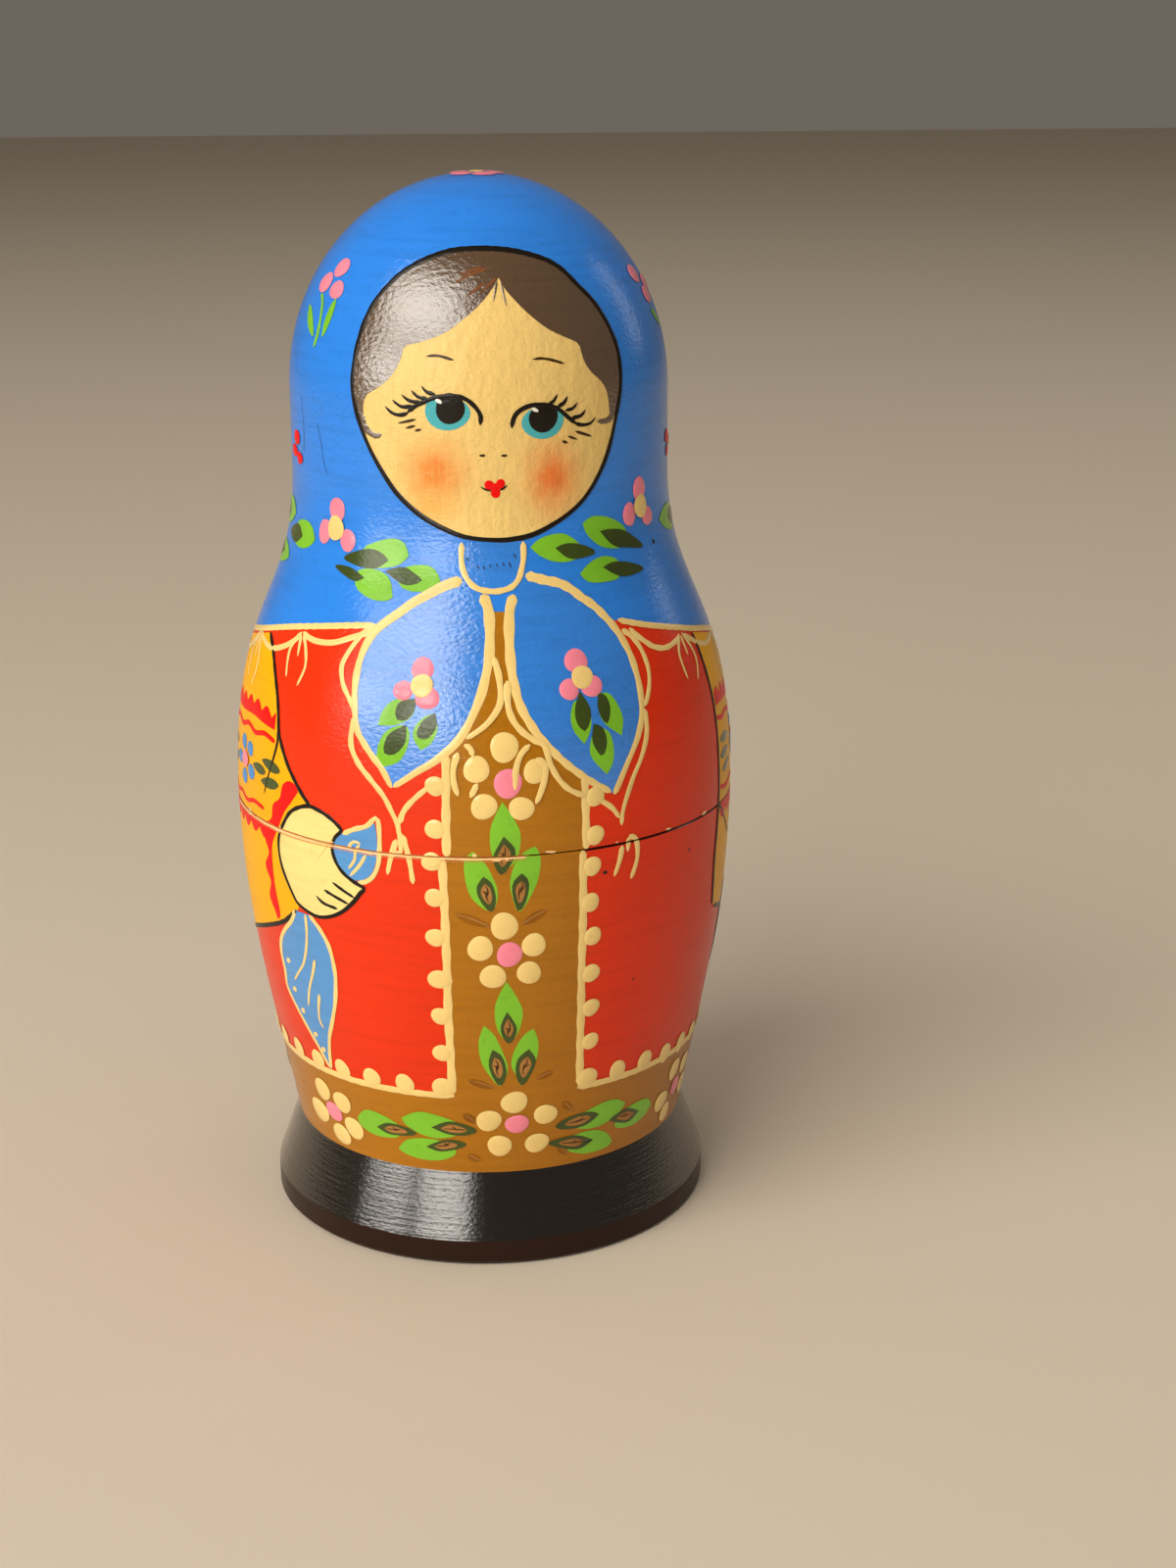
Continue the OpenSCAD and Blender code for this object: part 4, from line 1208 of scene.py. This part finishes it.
def seamWork(brush):
    brush.stroke("chipWood", wear["wornLine"], **wear["rubbed"])
    brush.stroke("seamWorn", [(phi, z - wear["shadowDrop"]) for phi, z in wear["wornLine"]], **wear["shadow"])
    stray, pace = wear["chipStray"]
    low, high = wear["fewChips"]
    for k in range(wear["chips"]):
        phi = wear["chipStart"] + wear["chipSpan"] * k / wear["chips"] + stray * math.sin(k * pace)
        if low < phi < high and k % 3:
            continue
        z = fig["seamZ"] + (wear["chipDown"] if k % 3 else wear["chipUp"])
        brush.dot("chipWood", phi, z, waved(wear["chipWide"], k), waved(wear["chipHigh"], k), lift=0.2, body=0.0,
                  tilt=wear["chipTilt"] * math.sin(k))
    layOn(brush, wear)


def cutAtSeam(piece, above):
    editAll(piece)
    level = fig["seamZ"] + (shell["cut"] if above else -shell["cut"])
    bpy.ops.mesh.bisect(plane_co=(0, 0, level * mm), plane_no=(0, 0, 1), clear_inner=above, clear_outer=not above)
    bpy.ops.object.mode_set(mode="OBJECT")
    return piece


def copyOf(piece, name):
    selectOnly([piece])
    bpy.ops.object.duplicate()
    made = bpy.context.object
    made.name = made.data.name = name
    return made


def measureFace(piece):  # the face paint is laid out by angle and height
    layer = piece.data.uv_layers[0]
    for loop in piece.data.loops:
        x, y, z = piece.data.vertices[loop.vertex_index].co
        layer.data[loop.index].uv = (math.degrees(math.atan2(x, -y)) / 360 + 0.5, z / (fig["height"] * mm))


def paintDoll(cell, raised, prefix):  # every paint of one doll, split at the seam
    brush = Brush(cell, raised)
    for work in (coatWork, hemWork, sleeveWork, tailWork, laceWork, faceWork, scarfWork, seamWork):
        work(brush)
    painting = brush.pieces(prefix)
    measureFace(painting["faceSkin"])
    upper, lower = [], []
    for piece in painting.values():
        heights = [v.co.z / mm for v in piece.data.vertices]
        if max(heights) > fig["seamZ"] + fig["seamEdge"]:
            upper.append(cutAtSeam(copyOf(piece, piece.name + "_upper"), True))
        if min(heights) < fig["seamZ"] - fig["seamEdge"]:
            lower.append(cutAtSeam(copyOf(piece, piece.name + "_lower"), False))
        bpy.data.objects.remove(piece, do_unlink=True)
    return upper, lower


def settle(piece, body, shellOf=None):
    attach(piece, body)
    if shellOf:
        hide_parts(shellOf)


# the largest doll
upperSection, lowerSection, _ = sections(shell["steps"])
upperShell = spinShell("outer_shell_upper", upperSection, shell["around"], upperPaint)
lowerShell = spinShell("outer_shell_lower", lowerSection, shell["around"], lowerPaint)
settle(upperShell, "outer_upper_half", "outer_upper_half")
settle(lowerShell, "outer_lower_half", "outer_lower_half")
print("shells turned")
upperPaints, lowerPaints = paintDoll(1.0, 1.0, "outer")
for piece in upperPaints:
    settle(piece, "outer_upper_half")
for piece in lowerPaints:
    settle(piece, "outer_lower_half")
total = sum(len(piece.data.polygons) for piece in upperPaints + lowerPaints)
print("largest doll painted:", len(upperPaints) + len(lowerPaints), "paints,", total, "faces")

# the dolls inside: painted once, then copied smaller and smaller
inner = {"cell": 2.2, "raised": 1.9, "around": 88, "steps": 16, "solid": "tenth_doll",
         "names": ["second", "third", "fourth", "fifth", "sixth", "seventh", "eighth", "ninth"]}


def placeInside(piece, k):
    across, high = innerAcross ** k, innerHeight ** k
    piece.scale = (across, across, high)
    piece.location = (0, 0, floorZ * (1 - high) / (1 - innerHeight) * mm)
    selectOnly([piece])
    bpy.ops.object.transform_apply(location=True, rotation=False, scale=True)


upperSection, lowerSection, solidSection = sections(inner["steps"])
upperPaints, lowerPaints = paintDoll(inner["cell"], inner["raised"], "inner")
solidShell = spinShell("tenth_shell", solidSection, inner["around"], solidPaint)
solidPaints = [copyOf(piece, "tenth_" + piece.name) for piece in upperPaints + lowerPaints
               if "chipWood" not in piece.name]
tenth = joinAll([solidShell] + solidPaints, "tenth_doll_painted")
upperShell = spinShell("inner_shell_upper", upperSection, inner["around"], upperPaint)
lowerShell = spinShell("inner_shell_lower", lowerSection, inner["around"], lowerPaint)
upperModel = joinAll([upperShell] + upperPaints, "inner_upper")
lowerModel = joinAll([lowerShell] + lowerPaints, "inner_lower")
for k, name in enumerate(inner["names"], 1):
    for model, half, slot in ((upperModel, "_upper_half", "scarf_paint"), (lowerModel, "_lower_half", "coat_paint")):
        piece = copyOf(model, name + half + "_painted")
        placeInside(piece, k)
        settle(piece, name + half, name + half)
placeInside(tenth, len(inner["names"]) + 1)
settle(tenth, inner["solid"], inner["solid"])
print("inner dolls painted:", len(upperModel.data.polygons) + len(lowerModel.data.polygons), "faces each")
for model in (upperModel, lowerModel):
    bpy.data.objects.remove(model, do_unlink=True)

# floor, light and camera
studio = {
    "floor": (216, 203, 184), "floorSize": 12.0, "floorCuts": 5, "floorRough": 0.8,
    "worldStrength": 0.15, "worldColour": (255, 242, 224),
    "lights": {  # place, target, size, power, spread of the beam in degrees
        "key_light": ((-1.30, -1.18, 1.62), (0.0, 0.0, 0.15), (2.1, 1.4), 17.5, 120),
        "low_left": ((-1.07, -0.54, 0.34), (0.0, 0.0, 0.03), (0.6, 0.3), 0.8, 90),
        "low_right": ((-0.63, -1.02, 0.34), (0.0, 0.0, 0.03), (0.6, 0.3), 0.9, 90),
        "edge_light": ((1.69, 0.62, 0.85), (0.0, 0.0, 0.12), (0.22, 1.0), 1.2, 180),
        "top_light": ((0.0, 0.0, 3.0), (0.0, 0.0, 0.0), (4.0, 4.0), 30.0, 180)},
    "lightColour": (255, 249, 240), "fill": "top_light",
    "camera": (-0.048725, -0.50664, 0.24657), "turns": ((-8, "Z"), (72.965, "X"), (-0.166, "Z")),  # degrees
    "lens": 56.25, "sensor": 36.0, "near": 0.01,
}
bpy.ops.object.select_all(action="DESELECT")
bpy.ops.mesh.primitive_plane_add(size=studio["floorSize"])
floor = bpy.context.object
floor.name = "studio_floor"
bpy.ops.object.mode_set(mode="EDIT")
bpy.ops.mesh.subdivide(number_cuts=studio["floorCuts"])
bpy.ops.object.mode_set(mode="OBJECT")
floorPaint = bpy.data.materials.new("studioPaper")
floorPaint.use_nodes = True
floorSkin = floorPaint.node_tree.nodes["Principled BSDF"]
floorSkin.inputs["Base Color"].default_value = linear(studio["floor"])
floorSkin.inputs["Roughness"].default_value = studio["floorRough"]
floor.data.materials.append(floorPaint)

scene = bpy.context.scene
scene.view_settings.view_transform = "Standard"
world = bpy.data.worlds.new("studioWorld")
scene.world = world
world.use_nodes = True
sky = world.node_tree.nodes["Background"]
sky.inputs["Color"].default_value = linear(studio["worldColour"])
sky.inputs["Strength"].default_value = studio["worldStrength"]

for name, (place, target, size, power, beam) in studio["lights"].items():
    bpy.ops.object.light_add(type="AREA", location=place)
    lamp = bpy.context.object
    lamp.name = name
    lamp.data.shape = "RECTANGLE"
    lamp.data.size, lamp.data.size_y = size
    lamp.data.energy = power
    lamp.data.spread = math.radians(beam)
    lamp.data.color = linear(studio["lightColour"])[:3]
    lamp.visible_camera = False
    lamp.visible_glossy = name != studio["fill"]  # the fill light does not shine in the varnish
    lamp.rotation_euler = (Vector(target) - Vector(place)).to_track_quat("-Z", "Y").to_euler()

bpy.ops.object.camera_add(location=studio["camera"])
camera = bpy.context.object
camera.name = "photo_camera"
pan, tilt, roll = [Matrix.Rotation(math.radians(angle), 4, axis) for angle, axis in studio["turns"]]
camera.rotation_euler = (pan @ tilt @ roll).to_euler()
camera.data.lens = studio["lens"]
camera.data.sensor_width = studio["sensor"]
camera.data.sensor_fit = "AUTO"
camera.data.clip_start = studio["near"]
camera.data.dof.use_dof = False
scene.camera = camera
print("studio set")
